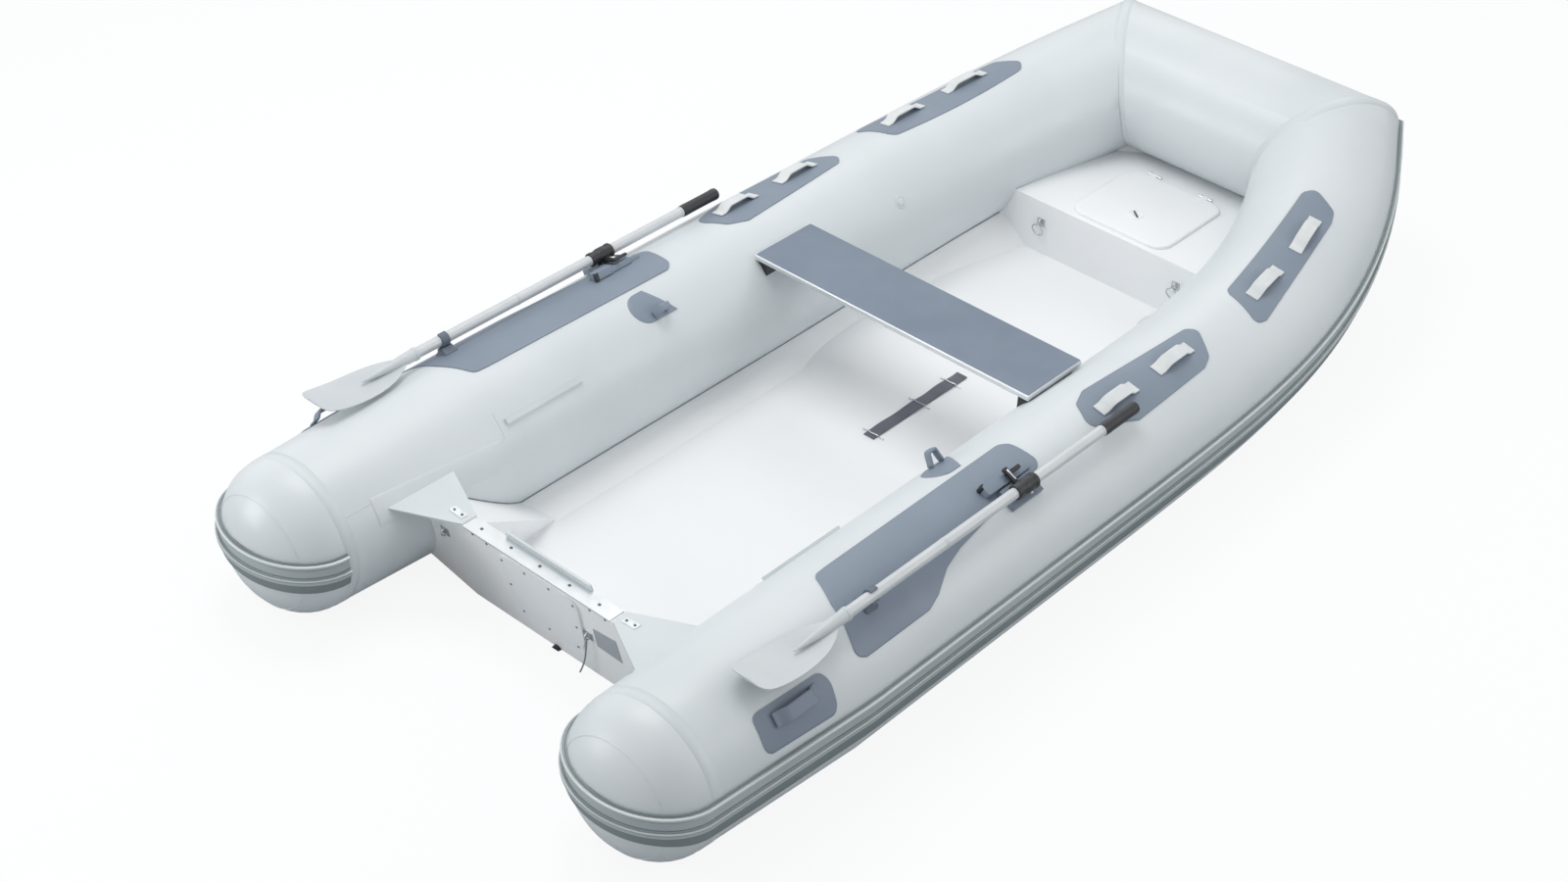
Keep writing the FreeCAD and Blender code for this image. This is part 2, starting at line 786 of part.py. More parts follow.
lean_back = Rotation(Vector(0, 1, 0), -size("transom_rake"))
flap_root = size("flap_root")
flap_slope = size("flap_slope_share")


def on_transom(x, y, w):
    """Place on the raked board: forward of its aft face, to port, and up from its top edge."""
    return Placement(transom_tip, lean_back).multVec(Vector(x, y, w))


def board_outline(x):
    """Outline of the board across the boat, from the keel to the gussets."""
    keel, knuckle, chine = vee_line(x)
    buried = keel + (chine - keel) * BURIED_SHARE
    wing = tube_offset - tube_radius + 2 * overrun
    half = [buried, Vector(x, wing, transom_top + (wing - size("cap_half_length")) * flap_slope),
            Vector(x, size("cap_half_length"), transom_top)]
    return [keel] + half + [Vector(p.x, -p.y, p.z) for p in reversed(half)]


outline = prism(board_outline(seam_x), Vector(2 * size("seam_aft") + size("taper_start"), 0, 0))
aft_of_board = half_space(transom_tip, transom_normal.negative(), 4 * reach)
board = outline.cut([aft_of_board, ahead_of_transom, port_tube, starboard_tube])
board = max(board.Solids, key=lambda s: s.Volume)


def raked_plate(outline_points, x, thickness, corner):
    """Flat plate on the board, from an outline of places to port and up from the top edge."""
    points = [on_transom(x, y, w) for y, w in outline_points]
    return Part.Face(rounded_wire(points, True, corner)[0]).extrude(transom_normal * thickness)


pad_half = size("pad_half_width")
pad_top = -size("pad_drop")
pad_foot = pad_top - size("pad_depth")
shield = [(share_y * pad_half, pad_top + share_w * (pad_foot - pad_top))
          for share_y, share_w in SHIELD_SHARES]
shield += [(-y, w) for y, w in reversed(shield) if y > 0]
outer_pad = raked_plate(shield, -size("pad_thickness"), size("pad_thickness"), size("pad_round"))
piece("motor_pad_outer", solid("MotorPadOuter", outer_pad))
inner_half = size("inner_pad_half_width")
inner_high = size("inner_pad_rise")
inner_low = inner_high - size("inner_pad_height")
inner_plate = raked_plate([(-inner_half, inner_low), (inner_half, inner_low), (inner_half, inner_high),
                           (-inner_half, inner_high)], size("transom_thickness"), size("pad_thickness"),
                          size("inner_pad_rise") / 2)
piece("motor_pad_inner", solid("MotorPadInner", inner_plate))
cap_overhang = (size("cap_width") - size("transom_thickness")) / 2
cap = Part.makeBox(size("cap_width"), 2 * size("cap_half_length"), size("cap_thickness"),
                   Vector(-cap_overhang, -size("cap_half_length"), transom_top))
piece("transom_cap", solid("TransomCap", cap.cut(inner_plate)))


def flap_point(x, y, lift):
    """Place on the gusset, which climbs a little towards the tube."""
    return Vector(x, y, transom_top + (y - size("cap_half_length")) * flap_slope + lift)


flap_t = size("flap_thickness")
buried_y = tube_offset - tube_radius + 2 * overrun
flap_outline = [(0, flap_root), (size("flap_root_forward"), flap_root),
                (size("flap_forward"), buried_y), (-size("flap_aft"), buried_y)]
flap = prism([flap_point(x, y, 0) for x, y in flap_outline], Vector(0, 0, flap_t))
flap = flap.cut([port_tube, board])
flap = max(flap.Solids, key=lambda s: s.Volume)
both("transom_gussets", solid("Gusset", flap))
plate_y = size("flap_plate_offset")
plate_x = size("flap_plate_forward")
half_w = size("flap_plate_width") / 2
half_l = size("flap_plate_length") / 2
plate_outline = [(plate_x - half_w, plate_y - half_l), (plate_x + half_w, plate_y - half_l),
                 (plate_x + half_w, plate_y + half_l), (plate_x - half_w, plate_y + half_l)]
tie = prism([flap_point(x, y, flap_t) for x, y in plate_outline],
            Vector(0, 0, size("flap_plate_thickness")))
both("gusset_plates", solid("GussetPlate", tie))

# Drain hood at the foot of the transom, and the plug that hangs under it on a cord.

drain_y = size("drain_offset")
hood_top = -size("drain_drop")
hood_foot = hood_top - size("hood_height")
hood_half = size("hood_half_width")
hood_lip = size("hood_lip")
hood_depth = size("hood_depth")
hood_outline = [(drain_y, hood_top), (drain_y + hood_half, hood_foot), (drain_y - hood_half, hood_foot)]
hood = raked_plate(hood_outline, -hood_depth, hood_depth, size("hood_round"))
slope = on_transom(hood_foot - hood_top, 0, hood_depth - hood_lip) - transom_tip
hood = hood.cut(half_space(on_transom(-hood_lip, drain_y, hood_top), slope, 2 * tube_radius))
piece("drain_hood", solid("DrainHood", hood))
piece("transom_board", solid("TransomBoard", board))
plug_radius = size("plug_radius")
plug_top = on_transom(-hood_depth + (hood_depth - plug_radius) / 2, drain_y, hood_foot)
downward = on_transom(0, 0, -1) - transom_tip
plug = Part.makeCylinder(plug_radius, size("plug_length"), plug_top, downward)
plug = plug.makeFillet(plug_radius / 4, [e for e in plug.Edges if e.Length > plug_radius])
piece("drain_plug", solid("DrainPlug", plug))

# Seat across the tubes, its blocks and the strips for its other place.

seat_half = size("seat_half_length")
seat_base = size("seat_top") - size("seat_thickness")
seat = raised("Part::Box", "SeatPlank",
              {"Length": "Sizes.seat_width", "Width": "2 * Sizes.seat_half_length",
               "Height": "Sizes.seat_thickness"},
              Placement(Vector(size("seat_aft"), -seat_half, seat_base), Rotation()))
piece("seat_board", seat)
block_y = seat_half - size("seat_block_inset") - size("seat_block_width")
block = Part.makeBox(size("seat_block_length"), size("seat_block_width"), seat_base - tube_height,
                     Vector(size("seat_aft") + size("seat_block_inset"), block_y, tube_height))
block = block.cut(port_tube)
block = max(block.Solids, key=lambda s: s.BoundBox.ZMax)
both("seat_blocks", solid("SeatBlock", block))


def on_tube(x, angle, lift):
    """Placement on the port tube: x forward, y outward along the skin, z away from the skin."""
    centre, radius = tube_station(x)
    outward, upward = section_frame(x)
    turn = math.radians(angle)
    away = outward * math.sin(turn) + upward * math.cos(turn)
    along = tube_direction(x)
    return Placement(centre + away * (radius + lift), Rotation(along, away.cross(along), away, "ZXY"))


def set_on(place, shape):
    """Move a shape drawn at the origin to a place."""
    moved = shape.copy()
    moved.Placement = place.multiply(shape.Placement)
    return moved


strip = Part.makeBox(size("strip_length"), size("strip_width"), 2 * size("strip_proud"),
                     Vector(-size("strip_length") / 2, -size("strip_width") / 2, -size("strip_proud")))
strip_mid = size("strip_aft") + size("strip_length") / 2
strip = set_on(on_tube(strip_mid, -size("strip_angle"), 0), strip).cut(port_tube)
both("seat_strips", solid("SeatStrip", strip))

# Skins welded on the tube: oar pads and handle patches.

oar_skin = side_tube(size("pad_sheet")).cut(port_tube)
patch_skin = side_tube(size("patch_sheet")).cut(port_tube)


def skin_patch(skin, aft, length, shares):
    """Piece of a tube skin inside an outline: shares of its length, each with an angle from the top."""
    points = []
    for share, angle in shares:
        x = aft + share * length
        centre, radius = tube_station(x)
        points.append(Vector(x, centre.y + radius * math.sin(math.radians(angle)), tube_height))
    outline = Part.Face(rounded_wire(points, True, size("patch_round"))[0])
    return skin.common(outline.extrude(Vector(0, 0, 2 * tube_radius + size("corner_rise"))))


oar_pad = skin_patch(oar_skin, size("oar_pad_aft"), size("oar_pad_length"), OAR_PAD_SHARES)
both("oar_pads", solid("OarPad", oar_pad))
aft_patch = skin_patch(patch_skin, size("aft_patch_aft"), size("aft_patch_length"), AFT_PATCH_SHARES)
bow_patch = skin_patch(patch_skin, size("bow_patch_aft"), size("bow_patch_length"), BOW_PATCH_SHARES)
both("grab_patches", solid("GrabPatches", Part.makeCompound([aft_patch, bow_patch])))
stern_patch = skin_patch(patch_skin, size("stern_patch_aft"), size("stern_patch_length"),
                         STERN_PATCH_SHARES)
both("stern_patches", solid("SternPatch", stern_patch))


def handle(aft, length, angle, rise, width, thickness, sheet_under):
    """Two sloping feet and the strap between them, standing on the port tube."""
    foot = size("handle_foot")
    run = RUN_SHARE * length
    slip = thickness * SLIP_SHARE
    sink = overrun / 4
    half = length / 2
    ends = []
    for side in (-1, 1):
        outline = [(-half, -sink), (foot - half, -sink), (run + slip - half, rise - thickness),
                   (run - half, rise), (-half, sheet_under)]
        points = [Vector(side * a, -width / 2, b) for a, b in outline]
        ends.append(prism(points, Vector(0, width, 0)))
    outline = [(run - half, rise), (run + slip - half, rise - thickness),
               (half - run - slip, rise - thickness), (half - run, rise)]
    strap = prism([Vector(a, -width / 2, b) for a, b in outline], Vector(0, width, 0))
    place = on_tube(aft + half, angle, 0)
    under = side_tube(sheet_under) if sheet_under else port_tube
    feet = [max(set_on(place, end).cut(under).Solids, key=lambda s: s.Volume) for end in ends]
    return feet, set_on(place, strap)


feet = []
straps = []
for aft in ("handle_first", "handle_second", "handle_third", "handle_fourth"):
    pair, strap = handle(size(aft), size("handle_length"), size("handle_angle"), size("handle_rise"),
                         size("handle_width"), size("handle_thickness"), size("patch_sheet"))
    feet += pair
    straps.append(strap)
both("grab_handle_feet", solid("GrabHandleFeet", Part.makeCompound(feet)))
both("grab_handle_straps", solid("GrabHandleStraps", Part.makeCompound(straps)))
pair, strap = handle(size("stern_handle_aft"), size("stern_handle_length"), size("stern_handle_angle"),
                     size("stern_handle_rise"), size("stern_handle_width"), size("stern_handle_thickness"),
                     size("patch_sheet"))
both("stern_handle_feet", solid("SternHandleFeet", Part.makeCompound(pair)))
both("stern_handle_bars", solid("SternHandleBar", strap))
pair, strap = handle(size("loop_aft"), size("loop_length"), size("loop_angle"), size("loop_rise"),
                     size("loop_width"), size("loop_thickness"), 0)
both("lift_loop_feet", solid("LiftLoopFeet", Part.makeCompound(pair)))
both("lift_loop_bars", solid("LiftLoopBar", strap))

# Oars, each in a collar that swings on a pin. They are drawn over the tube's centreline and leaned out.

oar_stand = tube_radius + size("oar_stand")
lean_out = Rotation(Vector(1, 0, 0), -size("oar_lean"))
oar_place = Placement(Vector(size("pivot_forward"), tube_offset, tube_height), lean_out)
along_x = Rotation(Vector(0, 0, 1), Vector(1, 0, 0))
shaft_r = size("shaft_radius")
pivot_x = size("pivot_forward")
base_top = tube_radius + size("pad_sheet") + size("lock_base_height")


def oar_local(x, y, z, turn=Rotation()):
    """Placement in the oar's leaned frame, from its pin over the tube's centreline."""
    return oar_place.multiply(Placement(Vector(x, y, z), turn))


base_length = size("lock_base_length")
base_width = size("lock_base_width")
base_depth = size("lock_base_height") + overrun
base_block = Part.makeBox(base_length, base_width, base_depth,
                          Vector(-base_length / 2, -base_width / 2, base_top - base_depth))
lock_pin = Part.makeCylinder(size("lock_pin_radius"), size("lock_pin_depth"), Vector(0, 0, base_top))
tube_and_pad = Part.makeCylinder(tube_radius + size("pad_sheet"), 2 * pivot_x, Vector(-pivot_x, 0, 0),
                                 Vector(1, 0, 0))
lock_base = set_on(oar_place, base_block.fuse(lock_pin).cut(tube_and_pad))
both("oarlock_bases", solid("OarlockBase", lock_base))

lock_gap = size("lock_gap")
collar_bottom = base_top + lock_gap
ring_length = size("lock_ring_length")
collar = Part.makeCylinder(size("lock_ring_radius"), ring_length,
                           Vector(-ring_length / 2, 0, oar_stand), Vector(1, 0, 0))
stem = Part.makeCylinder(size("lock_stem_radius"), oar_stand - collar_bottom, Vector(0, 0, collar_bottom))
hole = Part.makeCylinder(shaft_r, 2 * ring_length, Vector(-ring_length, 0, oar_stand), Vector(1, 0, 0))
socket = Part.makeCylinder(size("lock_bore_radius"), size("lock_pin_depth"),
                           Vector(0, 0, collar_bottom - lock_gap))
clamp = set_on(oar_place, collar.fuse(stem).cut([hole, socket]))
piece_pair("oarlock_collar", solid("OarlockCollar", clamp))

shaft = trimmed(
    "OarShaft",
    raised("Part::Cylinder", "ShaftOutside",
           {"Radius": "Sizes.shaft_radius", "Height": "Sizes.grip_start - Sizes.shaft_aft"},
           oar_local(size("shaft_aft") - pivot_x, 0, oar_stand, along_x)),
    raised("Part::Cylinder", "ShaftInside",
           {"Radius": "Sizes.shaft_radius - Sizes.shaft_wall",
            "Height": "Sizes.grip_start - Sizes.shaft_aft"},
           oar_local(size("shaft_aft") - pivot_x, 0, oar_stand, along_x)))
piece_pair("oar_shaft", shaft)
grip = raised("Part::Cylinder", "OarGrip",
              {"Radius": "Sizes.grip_radius", "Height": "Sizes.grip_end - Sizes.grip_start"},
              oar_local(size("grip_start") - pivot_x, 0, oar_stand, along_x))
piece_pair("oar_grip", grip)
blade_root = size("shaft_aft") - pivot_x
blade_end = -size("blade_tip") - pivot_x
blade_half = size("blade_half_width")
half_thick = size("blade_thickness") / 2
neck = Part.makeCone(size("socket_radius") * NECK_SHARE, size("socket_radius"), size("socket_length"),
                     Vector(blade_root - size("socket_length"), 0, oar_stand), Vector(1, 0, 0))
blade_points = []
for share_x, share_y in BLADE_SHARES:
    blade_x = blade_root + share_x * (blade_end - blade_root)
    blade_points.append(Vector(blade_x, share_y * blade_half, tube_radius))
blade_points += [Vector(p.x, -p.y, p.z) for p in reversed(blade_points)]
spoon = size("blade_spoon")
across = Vector(0, 1, 0)
spoon_end = Vector(blade_root, -2 * blade_half, oar_stand + spoon)
blade_shell = Part.makeCylinder(spoon + half_thick, 4 * blade_half, spoon_end, across)
blade_shell = blade_shell.cut(Part.makeCylinder(spoon - half_thick, 4 * blade_half, spoon_end, across))
rib_length = RIB_SHARE * (blade_root - blade_end)
rib_tip = Vector(blade_root - size("socket_length") / 2 - rib_length, 0, oar_stand)
rib = Part.makeCone(half_thick / 2, size("socket_radius") * NECK_SHARE, rib_length, rib_tip, Vector(1, 0, 0))
blade = blade_shell.common(prism(blade_points, Vector(0, 0, tube_radius))).fuse([neck, rib])
piece_pair("oar_blade", solid("OarBlade", set_on(oar_place, blade)))

clip_x = size("clip_forward") - pivot_x
clip_low = oar_stand - shaft_r - size("clip_gap")
clip_arm = size("clip_arm")
clip_inner = shaft_r + size("clip_gap")
clip_half = size("clip_length") / 2
clip_bed = Part.makeBox(size("clip_length"), size("clip_width"), clip_low + clip_arm - tube_radius,
                        Vector(clip_x - clip_half, -size("clip_width") / 2, tube_radius - clip_arm))
clip_back = Part.makeBox(size("clip_length"), clip_arm, oar_stand + shaft_r - tube_radius,
                         Vector(clip_x - clip_half, -clip_inner - clip_arm, tube_radius))
clip = clip_bed.fuse(clip_back).cut(tube_and_pad)
both("oar_clips", solid("OarClip", set_on(oar_place, clip)))

# Small deck fittings.

eye_half = size("eye_plate") / 2
eye_bar = size("eye_bar")
eye_plate = Part.makeBox(2 * eye_half, 2 * eye_half, eye_bar, Vector(-eye_half, -eye_half, 0))
eye_hoop = Part.makeTorus(size("eye_radius"), eye_bar, Vector(0, 0, eye_bar), Vector(0, 1, 0))
eye = eye_plate.fuse(eye_hoop).common(half_space(Vector(), Vector(0, 0, 1), reach))
facing_aft = Rotation(Vector(0, 0, 1), Vector(0, 1, 0), Vector(-1, 0, 0), "ZYX")
eyes = [set_on(Placement(Vector(locker_x, side * size("eye_offset"), size("eye_height")), facing_aft), eye)
        for side in (-1, 1)]
for across_y, drop in (("stern_eye_offset", "stern_eye_drop"), ("lanyard_eye_offset", "lanyard_eye_drop")):
    place = Placement(on_transom(0, size(across_y), -size(drop)), lean_back.multiply(facing_aft))
    eyes.append(set_on(place, eye))
piece("ring_eyes", solid("RingEyes", Part.makeCompound(eyes)))
cord_radius = size("lanyard_radius")
cord_points = [on_transom(-aft, y, w) for y, w, aft in LANYARD_ROUTE]
cord_line, bends = rounded_wire(cord_points, False, tube_radius)
cord_start = Part.makeCircle(cord_radius, cord_points[0], cord_points[1] - cord_points[0])
cord = cord_line.makePipeShell([Part.Wire([cord_start])], True, False)
print("cord bends, mm:", ["%.0f" % bend for bend in bends], "least allowed", size("lanyard_bend_least"))
section_by_length = math.pi * cord_radius ** 2 * cord_line.Length
print("cord volume %.1f, section by length %.1f mm3" % (cord.Volume, section_by_length))
if min(bends) < size("lanyard_bend_least"):
    raise RuntimeError("the cord bends too sharply")
cord = cord.cut([eyes[-1], plug])
cord = max(cord.Solids, key=lambda s: s.Volume)
piece("drain_lanyard", solid("DrainLanyard", cord))
piece("tank_strap", raised(
    "Part::Box", "TankStrap",
    {"Length": "Sizes.strap_length", "Width": "Sizes.strap_width", "Height": "Sizes.strap_thickness"},
    Placement(Vector(size("strap_aft"), -size("strap_width") / 2, floor_top), Rotation())))
loops = []
loop_half = size("strap_width") / 2 + 2 * size("loop_wire")
for share in STRAP_LOOP_SHARES:
    loop_x = size("strap_aft") + share * size("strap_length")
    wire = size("loop_wire")
    crown = floor_top + size("strap_loop_rise")
    bar = Part.makeCylinder(wire, 2 * loop_half, Vector(loop_x, -loop_half, crown), Vector(0, 1, 0))
    legs = [Part.makeCylinder(wire, crown - floor_top, Vector(loop_x, side * (loop_half - wire), floor_top))
            for side in (-1, 1)]
    loops.append(bar.fuse(legs).removeSplitter())
piece("strap_loops", solid("StrapLoops", Part.makeCompound(loops)))

# Rub strake and band, trimmed to the skins that they are welded to.

skins = [port_tube, starboard_tube, front_tube] + list(both_sides(port_cone))
strake_solid = strake(STRAKE_OUTLINE).cut(skins)
piece("rub_strake", solid("RubStrake", strake_solid))
piece("rub_band", solid("RubBand", strake(BAND_OUTLINE).cut(skins)))

# Check every feature, then write every piece.

doc.recompute()
for feature in doc.Objects:
    if "Invalid" in feature.State or "Error" in feature.State:
        raise RuntimeError("feature %s failed" % feature.Name)
for feature in pieces:
    if feature.Shape.isNull() or not feature.Shape.isValid():
        raise RuntimeError("piece %s has no valid solid" % feature.Label)
os.makedirs("parts", exist_ok=True)
for feature in pieces:
    feature.Shape.exportStep("parts/%s.step" % feature.Label)
    box = feature.Shape.BoundBox
    print("%-22s %3d solids %4d faces %10.1f cm3  x %6.0f %6.0f  y %5.0f %5.0f  z %5.0f %5.0f" % (
        feature.Label, len(feature.Shape.Solids), len(feature.Shape.Faces), feature.Shape.Volume / 1e3,
        box.XMin, box.XMax, box.YMin, box.YMax, box.ZMin, box.ZMax))
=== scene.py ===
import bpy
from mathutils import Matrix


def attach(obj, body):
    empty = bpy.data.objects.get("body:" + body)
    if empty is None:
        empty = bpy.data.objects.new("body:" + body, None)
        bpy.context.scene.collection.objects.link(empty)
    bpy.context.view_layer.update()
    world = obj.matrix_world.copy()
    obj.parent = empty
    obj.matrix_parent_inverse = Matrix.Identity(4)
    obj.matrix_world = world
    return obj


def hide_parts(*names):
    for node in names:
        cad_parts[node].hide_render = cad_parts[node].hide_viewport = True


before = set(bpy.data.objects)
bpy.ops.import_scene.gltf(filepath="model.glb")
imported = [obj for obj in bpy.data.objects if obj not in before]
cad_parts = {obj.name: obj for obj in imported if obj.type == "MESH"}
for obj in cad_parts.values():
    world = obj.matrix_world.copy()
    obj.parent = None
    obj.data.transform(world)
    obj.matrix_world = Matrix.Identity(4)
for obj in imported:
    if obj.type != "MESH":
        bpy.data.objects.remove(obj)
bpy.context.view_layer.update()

import logging
import math
from dataclasses import dataclass
from enum import Enum
from functools import cached_property
from typing import Any, Callable, Sequence

import bmesh
import bpy
from mathutils import Matrix, Vector

logging.basicConfig(level=logging.INFO, format="%(message)s")
log = logging.getLogger("boat")

Ring = list[Vector]
Pairs = Sequence[tuple[float, float]]
PORT, STARBOARD = 1, -1
FORE, PORTWARD, UP = Vector((1, 0, 0)), Vector((0, 1, 0)), Vector((0, 0, 1))


def linear(code: str) -> tuple[float, float, float, float]:
    """Turn an sRGB hex colour to linear light.

    Args:
        code: Colour such as "#D7DDE0".

    Returns:
        Red, green, blue and alpha, linear.
    """
    parts = [int(code[i:i + 2], 16) / 255 for i in (1, 3, 5)]
    red, green, blue = [p / 12.92 if p <= 0.04045 else ((p + 0.055) / 1.055) ** 2.4 for p in parts]
    return red, green, blue, 1.0


def add_node(tree: bpy.types.NodeTree, kind: str, inputs: dict[Any, Any], **settings: Any) -> bpy.types.Node:
    """Add a node with its settings, values and links.

    Args:
        tree: Node tree to add to.
        kind: Name of the node's class, without its "ShaderNode".
        inputs: Value, or socket to link from, for each input by name or number.
        **settings: Attributes of the node.

    Returns:
        The new node.
    """
    node = tree.nodes.new("ShaderNode" + kind)
    for key, value in settings.items():
        setattr(node, key, value)
    for key, value in inputs.items():
        if isinstance(value, bpy.types.NodeSocket):
            tree.links.new(value, node.inputs[key])
        else:
            node.inputs[key].default_value = value
    return node


def noise(tree: bpy.types.NodeTree, place: bpy.types.NodeSocket, size_mm: float,
          detail: float) -> bpy.types.NodeSocket:
    """Noise from 0 to 1 at a place in metres, with cells of a real size and so many octaves."""
    cells = {"Vector": place, "Scale": 1000 / size_mm, "Detail": detail}
    return add_node(tree, "TexNoise", cells).outputs["Fac"]


class Grain(Enum):
    """How the fine relief of a surface was made."""

    MOULDED = "moulded"
    RIBBED = "ribbed"
    BRUSHED = "brushed"
    BRAIDED = "braided"
    DIAMOND = "diamond"


@dataclass(frozen=True)
class Finish:
    """One finish: a base colour with slow blotches, a gloss that varies, a fine relief and a broad unevenness.

    Lengths are real ones in millimetres, and colours are sRGB hex values.
    """

    name: str
    colour: str
    blotch: str
    roughness: float
    grain_mm: float
    depth_mm: float
    grain: Grain = Grain.MOULDED
    blotch_mm: float = 180.0
    gloss_spread: float = 0.06
    metallic: float = 0.0
    coat: float = 0.0
    sheen: float = 0.0
    swell_mm: float = 0.0
    swell_depth_mm: float = 0.0

    def relief(self, tree: bpy.types.NodeTree, place: bpy.types.NodeSocket) -> bpy.types.NodeSocket:
        """Height of the fine relief.

        Args:
            tree: Node tree of the material.
            place: Socket with the place on the object, in metres.

        Returns:
            Socket with the height, from 0 to 1.
        """
        if self.grain in (Grain.RIBBED, Grain.BRAIDED, Grain.DIAMOND):
            bands = 2 * math.pi / (20 * self.grain_mm / 1000)
            turn, across = (0.0, 0.4) if self.grain is Grain.RIBBED else (math.radians(45), 1.0)
            slanted = add_node(tree, "Mapping", {"Vector": place, "Rotation": (turn, 0.0, turn)})
            first, second = [
                add_node(tree, "TexWave", {"Vector": slanted.outputs[0], "Scale": scale},
                         bands_direction=direction).outputs["Fac"]
                for direction, scale in (("X", bands), ("Y", bands * across))]
            return add_node(tree, "Math", {0: first, 1: second}, operation="MULTIPLY").outputs[0]
        stretch = (0.04, 1.0, 1.0) if self.grain is Grain.BRUSHED else (1.0, 1.0, 1.0)
        drawn = add_node(tree, "Mapping", {"Vector": place, "Scale": stretch})
        return noise(tree, drawn.outputs[0], self.grain_mm, 3.0)

    @cached_property
    def material(self) -> bpy.types.Material:
        """The material with its nodes, made when it is first asked for."""
        material = bpy.data.materials.new(self.name)
        material.use_nodes = True
        tree = material.node_tree
        tree.nodes.clear()
        place = add_node(tree, "TexCoord", {}).outputs["Object"]
        share = add_node(tree, "MapRange", {
            "Value": noise(tree, place, self.blotch_mm, 4.0), "From Min": 0.35, "From Max": 0.65})
        shade = add_node(tree, "Mix", {
            "Factor": share.outputs[0], 6: linear(self.colour), 7: linear(self.blotch)}, data_type="RGBA")
        gloss = add_node(tree, "MapRange", {
            "Value": noise(tree, place, self.blotch_mm / 2.5, 5.0), "From Min": 0.3, "From Max": 0.7,
            "To Min": self.roughness - self.gloss_spread, "To Max": self.roughness + self.gloss_spread})
        bump = add_node(tree, "Bump", {
            "Height": self.relief(tree, place), "Distance": self.depth_mm / 1000, "Strength": 1.0})
        if self.swell_mm:
            bump = add_node(tree, "Bump", {
                "Height": noise(tree, place, self.swell_mm, 1.0), "Distance": self.swell_depth_mm / 1000,
                "Strength": 1.0, "Normal": bump.outputs[0]})
        shader = add_node(tree, "BsdfPrincipled", {
            "Base Color": shade.outputs[2], "Roughness": gloss.outputs[0], "Metallic": self.metallic,
            "Coat Weight": self.coat, "Coat Roughness": 0.12, "Sheen Weight": self.sheen,
            "Normal": bump.outputs[0]})
        add_node(tree, "OutputMaterial", {"Surface": shader.outputs[0]})
        return material


# Calendered PVC coat over woven polyester: a soft satin skin, a little uneven where the air swells it.
TUBE = Finish("pvc_coated_fabric_calendered", "#D0D7DA", "#D6DCDF", 0.4, 2.0, 0.03,
              blotch_mm=420, swell_mm=240, swell_depth_mm=1.6, coat=0.06)
# The same fabric as a welded tape, a shade greyer and duller at its edge.
TAPE = Finish("pvc_seam_tape_welded", "#CCD4D7", "#D3DADD", 0.46, 1.6, 0.04)
# Extruded PVC rubber: smooth along its length, with a soft broad glint.
STRAKE = Finish("pvc_rubbing_strake_extruded", "#A6B1B4", "#AEB8BB", 0.38, 3.0, 0.05,
                Grain.BRUSHED, coat=0.08)
# Painted highlight: pale strips on the strake's raised crests, standing in for the light that catches them.
CREST_HIGHLIGHT = Finish("pvc_strake_crest_painted_highlight", "#D9DEDF", "#D2D8D9", 0.3, 3.0, 0.02, Grain.BRUSHED, coat=0.15)
# The thinner flat band under the strake, darker and duller.
BAND = Finish("pvc_band_extruded", "#778284", "#7E888A", 0.5, 3.0, 0.05, Grain.BRUSHED)
# Moulded thermobonded rubber of the pads: slate grey with a fine leathery grain, drawn at 2 mm to show.
PAD = Finish("pvc_wear_pad_moulded", "#7C8897", "#828E9D", 0.52, 2.2, 0.14, blotch_mm=260)
# Polished gelcoat: hard, white, glossy under a faint waviness of the laminate.
GELCOAT = Finish("gelcoat_polished", "#F3F5F7", "#F1F3F5", 0.38, 1.2, 0.01,
                 blotch_mm=500, gloss_spread=0.02, coat=0.08)
# Painted plywood of the transom: gelcoat over a flat board, slightly duller.
BOARD = Finish("transom_board_painted", "#FBFCFD", "#F7F9FA", 0.34, 2.5, 0.03, coat=0.1)
# Sheet ABS of the engine pad: satin, light grey, with a fine haircell.
ENGINE_PAD = Finish("abs_sheet_haircell", "#F0F3F5", "#EBEFF1", 0.48, 1.4, 0.06)
# Brushed stainless steel: streaks along its length that soften the glints.
STEEL = Finish("stainless_steel_brushed", "#C9CDCF", "#BFC4C7", 0.28, 0.8, 0.01,
               Grain.BRUSHED, metallic=1.0, blotch_mm=60)
# Dull screws, coloured dark grey all over so that they read as dark dots.
SCREW = Finish("stainless_screw_dull", "#6A7074", "#5E6468", 0.45, 0.8, 0.01,
               Grain.BRUSHED, metallic=0.7, blotch_mm=30)
# Moulded black nylon: a fine spark-eroded texture keeps its glints small.
NYLON = Finish("nylon_black_spark_textured", "#1E2124", "#26292C", 0.46, 0.9, 0.05, blotch_mm=40)
# Moulded grey nylon of the plug.
PLUG = Finish("nylon_grey_moulded", "#7D858E", "#858D96", 0.45, 0.9, 0.05, blotch_mm=40)
# Moulded slate nylon of the shaft clips and the latch's bar.
CLAMP = Finish("nylon_slate_moulded", "#596472", "#616C7A", 0.5, 0.9, 0.05, blotch_mm=40)
# Polypropylene blade: injection moulded, white and slightly waxy.
BLADE = Finish("polypropylene_white_moulded", "#C3C9CD", "#C9CFD2", 0.4, 1.5, 0.03, blotch_mm=120)
# Clear anodised drawn aluminium under a thick matt film: pale all round, a soft glint along its top.
SHAFT = Finish("aluminium_drawn_anodised", "#CDD1D4", "#C6CBCE", 0.42, 0.8, 0.008,
               Grain.BRUSHED, metallic=0.15, blotch_mm=90)
# Extruded seat plank: bare anodised edges.
PLANK = Finish("aluminium_extruded_anodised", "#D9DDDF", "#CFD4D7", 0.36, 1.0, 0.01,
               Grain.BRUSHED, metallic=0.6, blotch_mm=120)
# Non-slip coat rolled on the seat: blue grey and matt, its grit drawn at 1.5 mm to show.
GRIT = Finish("non_slip_coat_rolled", "#707D8D", "#778494", 0.6, 1.5, 0.2, blotch_mm=200)
